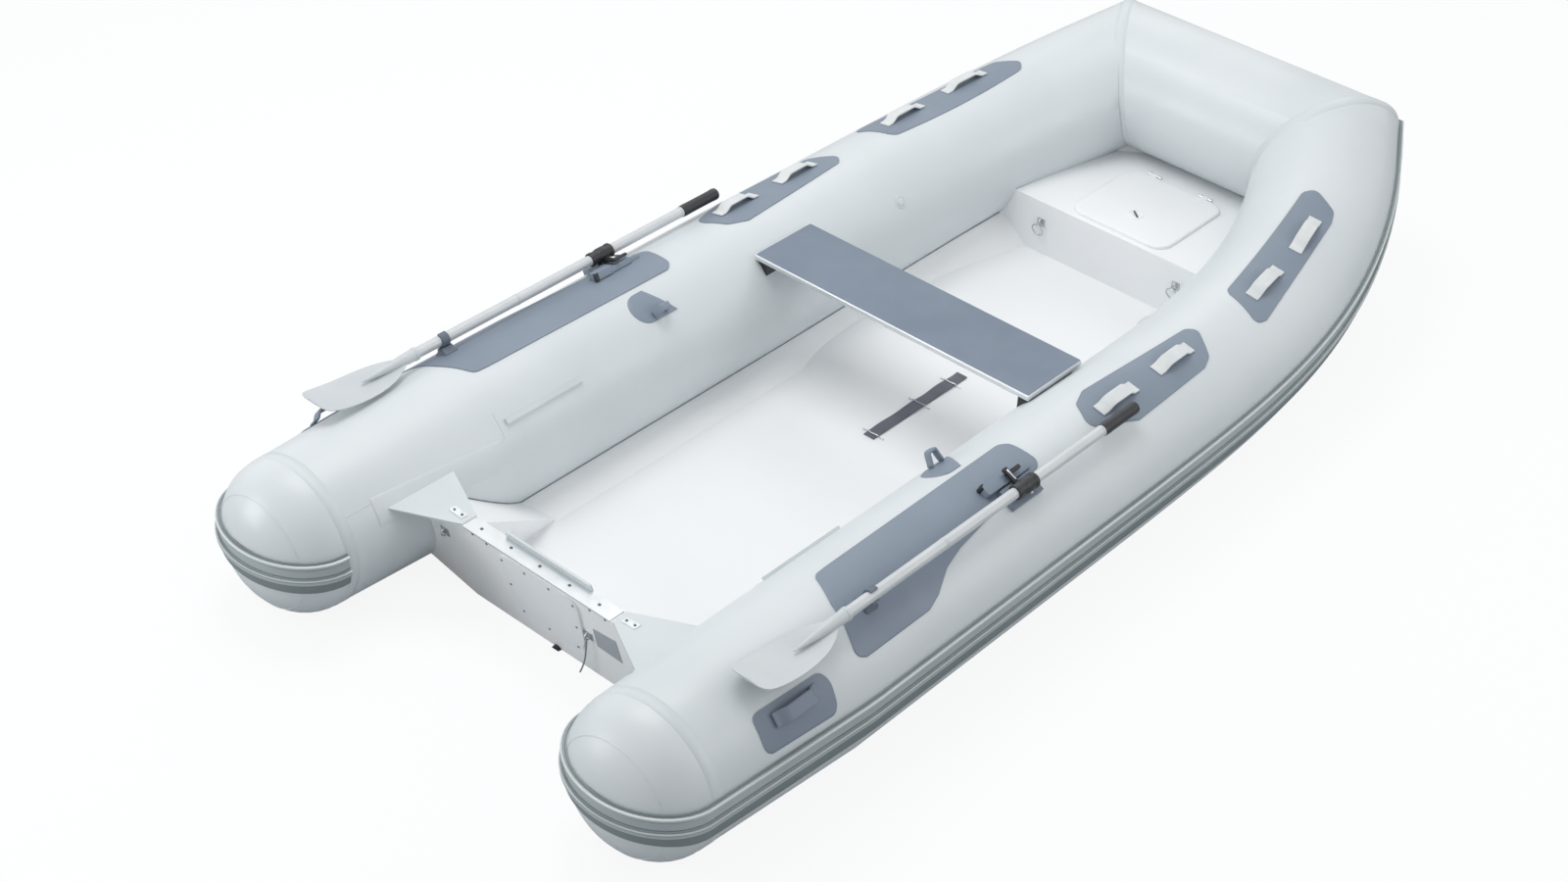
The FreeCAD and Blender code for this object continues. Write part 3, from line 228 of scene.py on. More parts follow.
# Woven polyester webbing of the grab straps, its ribs drawn at 3 mm.
WEBBING = Finish("polyester_webbing_woven", "#DBDFE0", "#D3D8DA", 0.66, 3.0, 0.3,
                 Grain.RIBBED, blotch_mm=40, sheen=0.2)
# Dark webbing that holds the tank down.
DARK_WEBBING = Finish("polyester_webbing_dark_woven", "#5E606B", "#676975", 0.7, 3.0, 0.35,
                      Grain.RIBBED, blotch_mm=40, sheen=0.2)
# Braided polyester cord, its plaits drawn at 2 mm.
CORD = Finish("polyester_cord_braided", "#7E858A", "#8A9196", 0.7, 2.0, 0.3, Grain.BRAIDED, blotch_mm=20)
# Knurled aluminium sheet of the bare plate: its diamonds are drawn at 5 mm.
PLATE = Finish("aluminium_plate_knurled", "#A9AFB4", "#B2B8BC", 0.5, 5.0, 0.3,
               Grain.DIAMOND, metallic=0.2, blotch_mm=60)
# Painted shade: a dark grey bead in the crease where the tube meets the moulding.
CREASE_SHADE = Finish("crease_shade_painted", "#767E82", "#7E868A", 0.55, 2.0, 0.05, blotch_mm=60)


class Shell:
    """A mesh under construction, made of skins drawn through rings of points."""

    def __init__(self) -> None:
        """Start an empty mesh."""
        self.bm = bmesh.new()

    def loft(self, rings: Sequence[Sequence[Vector]], closed: bool = True, caps: bool = True) -> None:
        """Draw a skin through rings of the same number of points.

        Args:
            rings: Rings of points, in order.
            closed: Join each ring's last point to its first.
            caps: Fill the first and last ring.
        """
        rows = [[self.bm.verts.new(point) for point in ring] for ring in rings]
        for row, after in zip(rows, rows[1:]):
            count = len(row)
            for i in range(count if closed else count - 1):
                j = (i + 1) % count
                self.bm.faces.new((row[i], row[j], after[j], after[i]))
        if caps and closed:
            self.bm.faces.new(list(reversed(rows[0])))
            self.bm.faces.new(rows[-1])

    def both(self, rings: Sequence[Sequence[Vector]], closed: bool = True, caps: bool = True) -> None:
        """Draw a skin on port and its mirror image on starboard, with the same arguments as for one."""
        for side in (PORT, STARBOARD):
            self.loft([flip(ring, side) for ring in rings], closed, caps)

    def object(self, name: str, finish: Finish, body: str = "hull", sharp: float = 38,
               replaces: Sequence[str] = ()) -> None:
        """Turn the mesh into a piece of the boat.

        Args:
            name: Name of the piece.
            finish: Its finish.
            body: Moving body that it rides on.
            sharp: Angle in degrees over which an edge stays sharp.
            replaces: Nodes of the frame that the piece stands for.
        """
        bmesh.ops.remove_doubles(self.bm, verts=self.bm.verts, dist=1e-5)
        bmesh.ops.recalc_face_normals(self.bm, faces=self.bm.faces)
        mesh = bpy.data.meshes.new(name)
        self.bm.to_mesh(mesh)
        self.bm.free()
        mesh.polygons.foreach_set("use_smooth", [True] * len(mesh.polygons))
        mesh.set_sharp_from_angle(angle=math.radians(sharp))
        mesh.materials.append(finish.material)
        piece = bpy.data.objects.new(name, mesh)
        bpy.context.scene.collection.objects.link(piece)
        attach(piece, body)
        if replaces:
            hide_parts(*replaces)
        log.info("%-24s %6d faces on %s", name, len(mesh.polygons), body)


def dress(finish: Finish, *nodes: str) -> None:
    """Give nodes of the frame their finish.

    Args:
        finish: The finish.
        *nodes: Names of the nodes.
    """
    for name in nodes:
        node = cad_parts[name]
        if not node.material_slots:
            node.data.materials.append(finish.material)
        for slot in node.material_slots:
            slot.material = finish.material
        log.info("%-24s dressed in %s", name, finish.name)


def flip(points: Sequence[Vector], side: int) -> Ring:
    """The points on port, or their mirror images on starboard."""
    return [Vector((p.x, side * p.y, p.z)) for p in points]


def circle(centre: Vector, first: Vector, second: Vector, radius: float, count: int = 24) -> Ring:
    """Points of a circle, from the one in the first direction to the one in the second and on round."""
    turns = [2 * math.pi * i / count for i in range(count)]
    return [centre + first * (radius * math.cos(t)) + second * (radius * math.sin(t)) for t in turns]


def turned(base: Vector, first: Vector, second: Vector, profile: Pairs, count: int = 24) -> list[Ring]:
    """Rings of a form turned about first x second, from the radius and the height over the base of each."""
    axis = first.cross(second)
    return [circle(base + axis * height, first, second, radius, count) for radius, height in profile]


def bead(path: Sequence[Vector], radius: float, count: int = 8) -> list[Ring]:
    """Rings of a thin round bead along a path.

    Args:
        path: Points on the bead's line.
        radius: Radius in metres.
        count: Points in each ring.

    Returns:
        The rings.
    """
    rings = []
    for i, point in enumerate(path):
        along = (path[min(i + 1, len(path) - 1)] - path[max(i - 1, 0)]).normalized()
        first = along.cross(UP if abs(along.z) < 0.9 else FORE).normalized()
        rings.append(circle(point, first, along.cross(first), radius, count))
    return rings


def rounded(width: float, height: float, corner: float, count: int = 4) -> list[tuple[float, float]]:
    """Outline of a rectangle with rounded corners, about its middle.

    Args:
        width: Full width in metres.
        height: Full height in metres.
        corner: Corner radius in metres.
        count: Steps in each corner.

    Returns:
        Points across and up.
    """
    points = []
    for quarter, (sx, sy) in enumerate(((1, 1), (-1, 1), (-1, -1), (1, -1))):
        for step in range(count + 1):
            turn = math.pi / 2 * (quarter + step / count)
            points.append((sx * (width / 2 - corner) + corner * math.cos(turn),
                           sy * (height / 2 - corner) + corner * math.sin(turn)))
    return points


def stacked(place: Callable[[float, float, float], Vector], width: float, height: float, corner: float,
            levels: Pairs, count: int = 4) -> list[Ring]:
    """Rings of a rounded block, one for each inset and level, with points by place(across, up, level)."""
    return [[place(a, b, level) for a, b in rounded(width - 2 * inset, height - 2 * inset, corner, count)]
            for inset, level in levels]


def spread(start: float, end: float, steps: int) -> list[float]:
    """Values from start to end in even steps, with both ends."""
    return [start + (end - start) * i / steps for i in range(steps + 1)]


def smooth(share: float) -> float:
    """Soft step from 0 to 1, flat at both ends and beyond them."""
    share = min(1.0, max(0.0, share))
    return share * share * (3 - 2 * share)


@dataclass(frozen=True)
class TubeLine:
    """The line of the air tube, in metres: where its centre runs and how thick it is."""

    radius: float = 0.215
    offset: float = 0.595
    height: float = 0.190
    taper_start: float = 0.250
    seam: float = -0.235
    seam_radius: float = 0.198
    seam_inset: float = 0.008
    seam_rise: float = 0.010
    cone_length: float = 0.155
    curve_start: float = 1.328
    corner: float = 2.826
    corner_radius: float = 0.203
    inset: float = 0.247
    inset_power: float = 3.8
    rise: float = 0.193
    rise_power: float = 3.33
    around: int = 96

    def station(self, x: float) -> tuple[Vector, float]:
        """Centre and radius of the port tube.

        Args:
            x: Place along the boat.

        Returns:
            Centre and radius.
        """
        if x < self.taper_start:
            share = (self.taper_start - x) / (self.taper_start - self.seam)
            centre = Vector((x, self.offset - self.seam_inset * share, self.height + self.seam_rise * share))
            return centre, self.radius + share * (self.seam_radius - self.radius)
        share = max(0.0, (x - self.curve_start) / (self.corner - self.curve_start))
        centre = Vector((x, self.offset - self.inset * share ** self.inset_power,
                         self.height + self.rise * share ** self.rise_power))
        return centre, self.radius + share * (self.corner_radius - self.radius)

    def axes(self, x: float) -> tuple[Vector, Vector, Vector]:
        """Unit vectors forward along the port tube, outboard and up.

        Args:
            x: Place along the boat.

        Returns:
            The three vectors.
        """
        run = self.corner - self.curve_start
        share = max(0.0, (x - self.curve_start) / run) if x > self.taper_start else 0.0
        inward = self.inset * self.inset_power * share ** (self.inset_power - 1) / run
        upward = self.rise * self.rise_power * share ** (self.rise_power - 1) / run
        along = Vector((1.0, -inward, upward)).normalized()
        outboard = UP.cross(along).normalized()
        return along, outboard, along.cross(outboard)

    def facing(self, x: float, angle: float) -> tuple[Vector, Vector, Vector]:
        """Unit vectors along the port tube, across it, and straight out of its skin.

        Args:
            x: Place along the boat.
            angle: Degrees from the tube's top, outboard positive.

        Returns:
            The three vectors.
        """
        along, outboard, up = self.axes(x)
        turn = math.radians(angle)
        away = outboard * math.sin(turn) + up * math.cos(turn)
        return along, away.cross(along), away

    def skin(self, x: float, angle: float, lift: float = 0.0) -> Vector:
        """Place on the port tube's skin, or so high over it, at an angle as for facing."""
        centre, radius = self.station(x)
        return centre + self.facing(x, angle)[2] * (radius + lift)

    def inboard(self, x: float, z: float) -> Vector:
        """Place on the inboard side of the port tube's skin, by its own height over the water."""
        centre, radius = self.station(x)
        return Vector((x, centre.y - math.sqrt(max(1e-6, radius ** 2 - (z - centre.z) ** 2)), z))

    def ring(self, x: float, always: bool = False) -> Ring:
        """Full ring on the skin, cut off at the bow mitre, or with always brought forward to it."""
        along = self.axes(x)[0]
        return [self.mitred(self.skin(x, angle), along, always) for angle in spread(0, 360, self.around)[:-1]]

    def mitre(self) -> tuple[Vector, Vector, Vector]:
        """Middle of the bow mitre, its normal, and the tube's direction there."""
        centre = self.station(self.corner)[0]
        along = self.axes(self.corner)[0]
        return centre, (along - PORTWARD).normalized(), along

    def mitred(self, point: Vector, along: Vector, always: bool = False) -> Vector:
        """Bring a point that is past the mitre back to it.

        Args:
            point: Point on the skin.
            along: Direction to move it in.
            always: Also bring a point that is short of the mitre forward to it.

        Returns:
            The point, on the mitre or short of it.
        """
        centre, normal, _ = self.mitre()
        past = (point - centre).dot(normal)
        if past <= 0 and not always:
            return point
        return point - along * (past / along.dot(normal))


@dataclass(frozen=True)
class Buoyancy:
    """Air tubes with their seams, valves, strakes and the joint to the hull, in metres and degrees."""

    line: TubeLine
    tape_width: float = 0.034
    tape_edge: float = 0.0015
    tape_lift: float = 0.0009
    tape_sunk: float = -0.0008
    mitre_tape: float = 0.020
    weld: float = 0.0009
    panel_weld_x: float = 0.289
    panel_weld_angles: tuple[float, float] = (-40.7, -59.4)
    cap_turn: float = 40.0
    valve_x: float = 1.835
    valve_angle: float = -54.5
    valve_profile: Pairs = ((0.019, 0.0), (0.019, 0.003), (0.0178, 0.0042), (0.0150, 0.0042), (0.0142, 0.003),
                            (0.0120, 0.003), (0.0114, 0.0058), (0.0096, 0.0068), (0.003, 0.0070))
    crests: Pairs = ((0.0415, 0.0028), (0.0055, 0.0016))
    crest_lifts: tuple[float, float] = (0.0115, 0.0142)
    # Dark strips at the strake's top edge and between its ridges: painted shade, drawn in the band's colour.
    grooves: Pairs = ((0.0475, 0.0018), (0.0325, 0.0018), (0.0110, 0.0012))
    groove_lifts: tuple[float, float] = (0.0035, 0.0073)
    band: Pairs = ((0.0020, -0.0010), (0.0020, 0.0068), (-0.0060, 0.0076), (-0.0190, 0.0076),
                   (-0.0330, 0.0068), (-0.0375, 0.0048), (-0.0390, 0.0020), (-0.0395, -0.0010))
    band_fall: float = 0.014
    doubler_x: tuple[float, float] = (-0.124, 0.276)
    doubler_angles: tuple[float, float] = (-50.0, -58.2)
    cone_weld_length: float = 0.112
    cone_weld_angle: float = -53.3
    knee_x: tuple[float, float] = (0.043, 0.345)
    knee_start: tuple[float, float] = (0.0414, 0.28)
    knee_fall: float = 0.256 / 0.3566
    floor_x: tuple[float, float] = (0.38, 2.24)
    floor_angle: float = -126.87
    locker_x: tuple[float, float] = (2.282, 2.70)
    locker_top: float = 0.2
    crease_shade_bead: float = 0.0032

    def half(self) -> list[Ring]:
        """Rings of the port half, from the tip of the stern cone to the bow mitre."""
        line = self.line
        centre, radius = line.station(line.seam)
        rings = []
        for step in range(14):
            turn = math.pi / 2 * (1 - step / 14) * 0.995
            middle = centre - FORE * (line.cone_length * math.sin(turn))
            rings.append(circle(middle, UP, PORTWARD, radius * math.cos(turn), line.around))
        stations = [line.seam, 0.0, line.taper_start, 0.6, 0.95] + spread(line.curve_start, line.corner, 44)
        return rings + [line.ring(x) for x in stations] + [line.ring(line.corner, always=True)]

    def tubes(self) -> None:
        """Both air tubes, the bow tube and the stern cones, as one swelling skin."""
        shell = Shell()
        port = self.half()
        shell.loft(port + [flip(ring, STARBOARD) for ring in reversed(port)])
        shell.object("air_tubes", TUBE, sharp=50,
                     replaces=("tube_port", "tube_starboard", "tube_bow", "stern_cones"))

    def seams(self) -> None:
        """Welded tapes round the stern seams and along the bow mitres."""
        line, reach = self.line, self.mitre_tape
        shell = Shell()
        aft = line.seam - 0.001
        fore = aft + self.tape_width
        row = ((aft, self.tape_sunk), (aft + self.tape_edge, self.tape_lift),
               (fore - self.tape_edge, self.tape_lift), (fore, self.tape_sunk))
        angles = spread(0, 360, line.around)
        shell.both([[line.skin(x, angle, lift) for x, lift in row] for angle in angles], False, False)
        weld = [line.skin(self.panel_weld_x, angle, 0.0001) for angle in spread(*self.panel_weld_angles, 12)]
        shell.both(bead(weld, self.weld, 6))
        along = line.mitre()[2]
        rings = []
        for angle in angles:
            flat, low = [line.mitred(line.skin(line.corner, angle, lift), along, True)
                         for lift in (self.tape_lift, self.tape_sunk)]
            rings.append([low - along * (reach + 0.002), flat - along * reach, flat,
                          flat - PORTWARD * reach, low - PORTWARD * (reach + 0.002)])
        shell.both(rings, False, False)
        shell.object("seam_tapes", TAPE, sharp=70)

    def cap_seams(self) -> None:
        """Thin weld line round the end panel of each stern cone."""
        line = self.line
        shell = Shell()
        centre, radius = line.station(line.seam)
        turn = math.radians(self.cap_turn)
        middle = centre - FORE * (line.cone_length * math.sin(turn))
        path = circle(middle, UP, PORTWARD, radius * math.cos(turn), 72)
        rings = bead(path + path[:1], self.weld, 6)
        shell.both(rings[1:-1] + rings[1:2], caps=False)
        shell.object("cone_seams", TUBE)

    def valves(self) -> None:
        """Round inflation valves on the inboard side of each tube."""
        shell = Shell()
        along, across, _ = self.line.facing(self.valve_x, self.valve_angle)
        foot = self.line.skin(self.valve_x, self.valve_angle, -0.002)
        shell.both(turned(foot, along, across, self.valve_profile))
        shell.object("tube_valves", TUBE)

    def strake_point(self, step: float, height: float, lift: float) -> Vector:
        """Place on the port half of the strake.

        Args:
            step: 0 at its inboard end, 1 where the cone meets the tube, and 2 at the bow mitre.
            height: Height over the tube's centreline.
            lift: How proud it stands of the skin.

        Returns:
            The point.
        """
        line = self.line
        if step < 1:
            centre, radius = line.station(line.seam)
            turn, rise = math.pi * (1 - step), math.asin(height / radius)
            reach = 1 / math.hypot(math.cos(turn) / radius, math.sin(turn) / line.cone_length)
            across = (reach + lift) * math.cos(rise)
            return centre + Vector((-math.sin(turn) * across, math.cos(turn) * across,
                                    (radius + lift) * math.sin(rise)))
        x = line.seam + (step - 1) * (line.corner - line.seam)
        angle = 90 - math.degrees(math.asin(height / line.station(x)[1]))
        return line.mitred(line.skin(x, angle, lift), line.axes(x)[0], step == 2)

    def strips(self, name: str, profiles: Sequence[Pairs], finish: Finish,
               replaces: Sequence[str] = (), fall: float = 0.0) -> None:
        """Strips that run all along the strake.

        Args:
            name: Name of the piece.
            profiles: Outline of each strip, as heights over the tube's centreline and lifts over its skin.
            finish: Their finish.
            replaces: Nodes that they stand for.
            fall: How much deeper their lower edge lies ahead of the cone.
        """
        shell = Shell()
        for profile in profiles:
            port = []
            for step in spread(0, 1, 30)[:-1] + spread(1, 2, 60):
                deeper = fall * smooth((step - 0.75) / 0.35)
                port.append([self.strake_point(step, height - (deeper if height < -0.02 else 0.0), lift)
                             for height, lift in profile])
            shell.loft(port + [flip(ring, STARBOARD) for ring in reversed(port)])
        shell.object(name, finish, sharp=60, replaces=replaces)

    def ridges(self, name: str, places: Pairs, lifts: tuple[float, float], finish: Finish) -> None:
        """Low ridges along the strake, by height and half width of each and by lifts of foot and top."""
        foot, top = lifts
        self.strips(name, [((height + half, foot), (height + half * 0.6, top), (height - half * 0.6, top),
                            (height - half, foot)) for height, half in places], finish)

    def doublers(self) -> None:
        """Thin fabric doublers under the gussets, with the tube's lengthwise weld beside them."""
        line = self.line
        shell = Shell()
        row = [(0.0, -0.0006), (0.4, 0.0009)] + [(2 + 3 * j, 0.0009) for j in range(7)] + [(22, -0.0006)]
        shell.both([[line.skin(x, angle - turn, lift) for turn, lift in row]
                    for x, angle in zip(spread(*self.doubler_x, 16), spread(*self.doubler_angles, 16))],
                   False, False)
        weld = [line.skin(x, self.cone_weld_angle, 0.0001)
                for x in spread(line.seam, line.seam + self.cone_weld_length, 8)]
        shell.both(bead(weld, 0.0008, 6))
        shell.object("gusset_doublers", TUBE, sharp=70)

    def joints(self) -> None:
        """Dark bead of painted shade in the crease where the tubes meet the liner, the knees and the locker.
        """
        line = self.line
        shell = Shell()
        start, top = self.knee_start
        knee = [line.inboard(x, top - (x - start) * self.knee_fall) for x in spread(*self.knee_x, 8)]
        foot = [line.skin(x, self.floor_angle) for x in spread(*self.floor_x, 31) + [2.28]]
        locker = [line.inboard(x, self.locker_top) for x in spread(*self.locker_x, 19)]
        for route in (knee + foot, locker):
            shell.both(bead(route, self.crease_shade_bead))
        shell.object("joint_crease_shade", CREASE_SHADE)

    def build(self) -> None:
        """Build and dress the whole sub-assembly."""
        self.tubes()
        self.seams()
        self.cap_seams()
        self.valves()
        self.joints()
        self.doublers()
        dress(STRAKE, "rub_strake")
        # Pale crest strips: painted highlight along the strake's ridges.
        self.ridges("strake_crest_highlights", self.crests, self.crest_lifts, CREST_HIGHLIGHT)
        # Dark groove strips: painted shade beside the ridges, drawn in the band's colour.
        self.ridges("strake_groove_shade", self.grooves, self.groove_lifts, BAND)
        self.strips("strake_band", [self.band], BAND, ("rub_band",), self.band_fall)


@dataclass(frozen=True)
class Strap:
    """An arched strap on the tube, its foot plates and its rise, in metres and degrees."""

    aft: float
    length: float
    angle: float
    rise: float
    width: float
    thickness: float
    sheet: float
    ramp: float = 0.3
    foot: float = 0.1

    def height(self, share: float) -> float:
        """Height of the strap's outer face over the skin, at a share of its length."""
        climb = smooth((min(share, 1 - share) - self.foot) / (self.ramp - self.foot))
        low = self.sheet + self.thickness
        return low + (self.rise - low) * (climb * 0.93 + 0.07 * math.sin(math.pi * share))

    def rings(self, line: TubeLine, steps: int = 40) -> list[Ring]:
        """Rings of the strap on the port tube.

        Args:
            line: The tube's line.
            steps: Number of steps along the strap.

        Returns:
            The rings.
        """
        middle = self.aft + self.length / 2
        along, across, away = line.facing(middle, self.angle)
        base = line.skin(middle, self.angle)
        rings = []
        for i, share in enumerate(spread(0, 1, steps)):
            before, after = max(0, share - 0.004), min(1, share + 0.004)
            slope = (self.height(after) - self.height(before)) / ((after - before) * self.length)
            normal = (along + away * slope).normalized().cross(across).normalized()
            if normal.dot(away) < 0:
                normal = -normal
            lift = self.height(share) - self.thickness / 2
            point = base + along * ((share - 0.5) * self.length) + away * lift
            end = 0.45 if i in (0, steps) else 1.0
            rings.append([point + across * a + normal * (b * end)
                          for a, b in rounded(self.width, self.thickness, self.thickness * 0.45)])
        return rings


@dataclass(frozen=True)
class TubeFittings:
    """Wear pads, handles and lifting loops on the tubes, in metres and degrees."""

    line: TubeLine
    handles: tuple[Strap, ...] = tuple(
        Strap(aft, 0.150, 12.5, 0.022, 0.038, 0.005, 0.0025) for aft in (1.301, 1.548, 2.012, 2.264))
    stern: Strap = Strap(-0.023, 0.138, 52, 0.028, 0.036, 0.007, 0.0025, ramp=0.24, foot=0.06)
    loop: Strap = Strap(0.868, 0.044, -37, 0.045, 0.020, 0.009, 0.002, ramp=0.26, foot=0.02)
    tongue_x: float = 0.860
    tongue_fore: float = 0.923
    tongue_slant: float = 0.028
    tongue_half: float = 0.046
    tongue_middle: float = -0.109

    def straps(self, name: str, straps: Sequence[Strap], finish: Finish,
               replaces: Sequence[str]) -> None:
        """One piece of like straps on both sides.

        Args:
            name: Name of the piece.
            straps: The straps of one side.
            finish: Their finish.
            replaces: Nodes that they stand for.
        """
        shell = Shell()
        for strap in straps:
            shell.both(strap.rings(self.line))
        shell.object(name, finish, replaces=replaces)

    def tongues(self) -> None:
        """Tongue-shaped doublers of the lifting loops: round aft, with a straight slanted fore edge."""
        shell = Shell()
        arc = math.degrees(1 / self.line.radius)
        rings = []
        for i, turn in enumerate(spread(-math.pi / 2, math.pi / 2, 24)):
            v = math.sin(turn)
            aft = self.tongue_x - self.tongue_half * math.sqrt(max(0.0, 1 - v * v))
            fore = self.tongue_fore - self.tongue_slant * v
            angle = (self.tongue_middle + self.tongue_half * v) * arc
            rings.append([self.line.skin(x, angle, -0.0006 if j in (0, 12) or i in (0, 24) else 0.0022)
                          for j, x in enumerate(spread(aft, fore, 12))])
        shell.both(rings, False, False)
        shell.object("loop_doublers", PAD, sharp=50)

    def build(self) -> None:
        """Build and dress the whole sub-assembly."""
        self.tongues()
        dress(PAD, "oar_pads", "grab_patches", "stern_patches")
        dress(TAPE, "seat_strips")
        self.straps("grab_handles", self.handles, WEBBING, ("grab_handle_feet", "grab_handle_straps"))
        self.straps("stern_handles", (self.stern,), PAD, ("stern_handle_feet", "stern_handle_bars"))
        self.straps("lift_loops", (self.loop,), PAD, ("lift_loop_feet", "lift_loop_bars"))


@dataclass(frozen=True)
class LockerLid:
    """Rounded lid of the bow locker with its hinges and its turn latch, in metres and degrees."""

    aft: float = 2.300
    length: float = 0.328
    half_width: float = 0.168
    corner: float = 0.050
    base: float = 0.2003
    thickness: float = 0.009
    edge: Pairs = ((0.0, 0.0), (0.0, 0.5), (0.0012, 0.8), (0.004, 0.96), (0.009, 1.0), (0.03, 1.0))
    hinge_gap: float = 0.007
    hinge_y: float = 0.090
    hinge_pin: Pairs = ((0.0045, -0.011), (0.005, -0.0105), (0.005, 0.0105), (0.0045, 0.011))
    latch_x: float = 2.406
    latch_turn: float = 52.0
    dish: Pairs = ((0.0245, -0.0002), (0.0245, 0.0016), (0.0232, 0.0024), (0.0205, 0.0024), (0.0190, 0.0006),
                   (0.004, 0.0005))

    def lid(self) -> None:
        """Lid with a soft edge, and its two hinges."""
        shell = Shell()
        middle = Vector((self.aft + self.length / 2, 0, self.base))
        shell.loft([[middle + Vector((a, b, height * self.thickness)) for a, b in rounded(
            self.length - 2 * inset, 2 * (self.half_width - inset), max(0.012, self.corner - inset), 10)]
            for inset, height in self.edge])
        for y in (-self.hinge_y, self.hinge_y):
            hinge = Vector((self.aft + self.length + self.hinge_gap, y, self.base + 0.005))
            shell.loft(turned(hinge, UP, FORE, self.hinge_pin, 20))
            leaf = Vector((hinge.x - 0.0125, y, self.base + self.thickness - 0.0008))
            shell.loft(stacked(lambda a, b, h: leaf + Vector((a, b, h)), 0.023, 0.021, 0.003,
                               ((0.0, -0.001), (0.0, 0.001))))
        shell.object("lid_shell", GELCOAT, body="lid", sharp=50, replaces=("locker_lid",))

    def latch(self) -> None:
        """Turn latch: a shallow dish in the lid's colour with a thin dark folding bar."""
        foot = Vector((self.latch_x, 0, self.base + self.thickness))
        shell = Shell()
        shell.loft(turned(foot, FORE, PORTWARD, self.dish, 32))
        shell.object("latch_dish", GELCOAT, body="lid", replaces=("lid_latch",))
        shell = Shell()
        turn = Matrix.Rotation(math.radians(self.latch_turn), 3, "Z")
        shell.loft(stacked(lambda a, b, h: foot + turn @ Vector((a, b, h)), 0.036, 0.0052, 0.002,
                           ((0.0, 0.0006), (0.0, 0.0036), (0.0010, 0.0046)), 3))
        shell.object("latch_bar", CLAMP, body="lid")

    def build(self) -> None:
        """Build and dress the whole sub-assembly."""
        dress(STEEL, "lid_hinges")
        self.lid()
        self.latch()


@dataclass(frozen=True)
class HullAndDeck:
    """Hull bottom, deck liner, and the fittings on the deck and on the locker's face, in metres."""

    ring_middle: tuple[float, float, float] = (2.2655, 0.240, 0.1115)
    ring_radius: float = 0.019
    ring_wire: float = 0.0022
    strap_x: tuple[float, float] = (1.217, 1.618)
    strap_height: float = 0.0314
    strap_wave: float = 0.0045
    wires_x: tuple[float, ...] = (1.229, 1.425, 1.560)
    wire: float = 0.0013
    wire_foot: float = 0.034
    wire_path: Pairs = ((-0.034, 0.0305), (-0.0265, 0.0312), (-0.0215, 0.0345), (-0.0195, 0.0372),
                        (0.0, 0.0380), (0.0195, 0.0372), (0.0215, 0.0345), (0.0265, 0.0312), (0.034, 0.0305))
    foot_profile: Pairs = ((0.0036, 0.0298), (0.0036, 0.0316), (0.0020, 0.0326))

    def rings(self) -> None:
        """Steel rings that hang in the eyes on the locker's face."""
        shell = Shell()
        path = circle(Vector(self.ring_middle), Vector((-0.25, 0, 0.97)), PORTWARD, self.ring_radius, 32)
        shell.both(bead(path + path[:2], self.ring_wire)[1:], caps=False)
        shell.object("hanging_rings", STEEL)

    def strap(self) -> None:
        """Webbing that holds the tank, lying in low waves between its wire loops."""
        shell = Shell()
        rings = []
        for share, x in zip(spread(0, 1, 60), spread(*self.strap_x, 60)):
            wave = self.strap_wave * math.sin(math.pi * 3.2 * share) ** 2 * (0.4 + 0.6 * share)
            height = self.strap_height + wave
            rings.append([Vector((x, a, height + b)) for a, b in rounded(0.036, 0.0022, 0.001, 2)])
        shell.loft(rings)
        shell.object("tank_webbing", DARK_WEBBING, replaces=("tank_strap",))

    def wires(self) -> None:
        """Thin wire staples that hold the webbing, each with a screwed foot on both sides."""
        shell = Shell()
        for x in self.wires_x:
            shell.loft(bead([Vector((x + 0.006 * abs(y) / self.wire_foot, y, z)) for y, z in self.wire_path],
                            self.wire))
            for y in (-self.wire_foot, self.wire_foot):
                shell.loft(turned(Vector((x + 0.006, y, 0)), FORE, PORTWARD, self.foot_profile, 12))
        shell.object("strap_wires", STEEL, replaces=("strap_loops",))

    def build(self) -> None:
        """Build and dress the whole sub-assembly."""
        dress(GELCOAT, "hull_bottom", "deck_liner")
        dress(STEEL, "ring_eyes")
        self.wires()
        LockerLid().build()
        self.rings()
        self.strap()


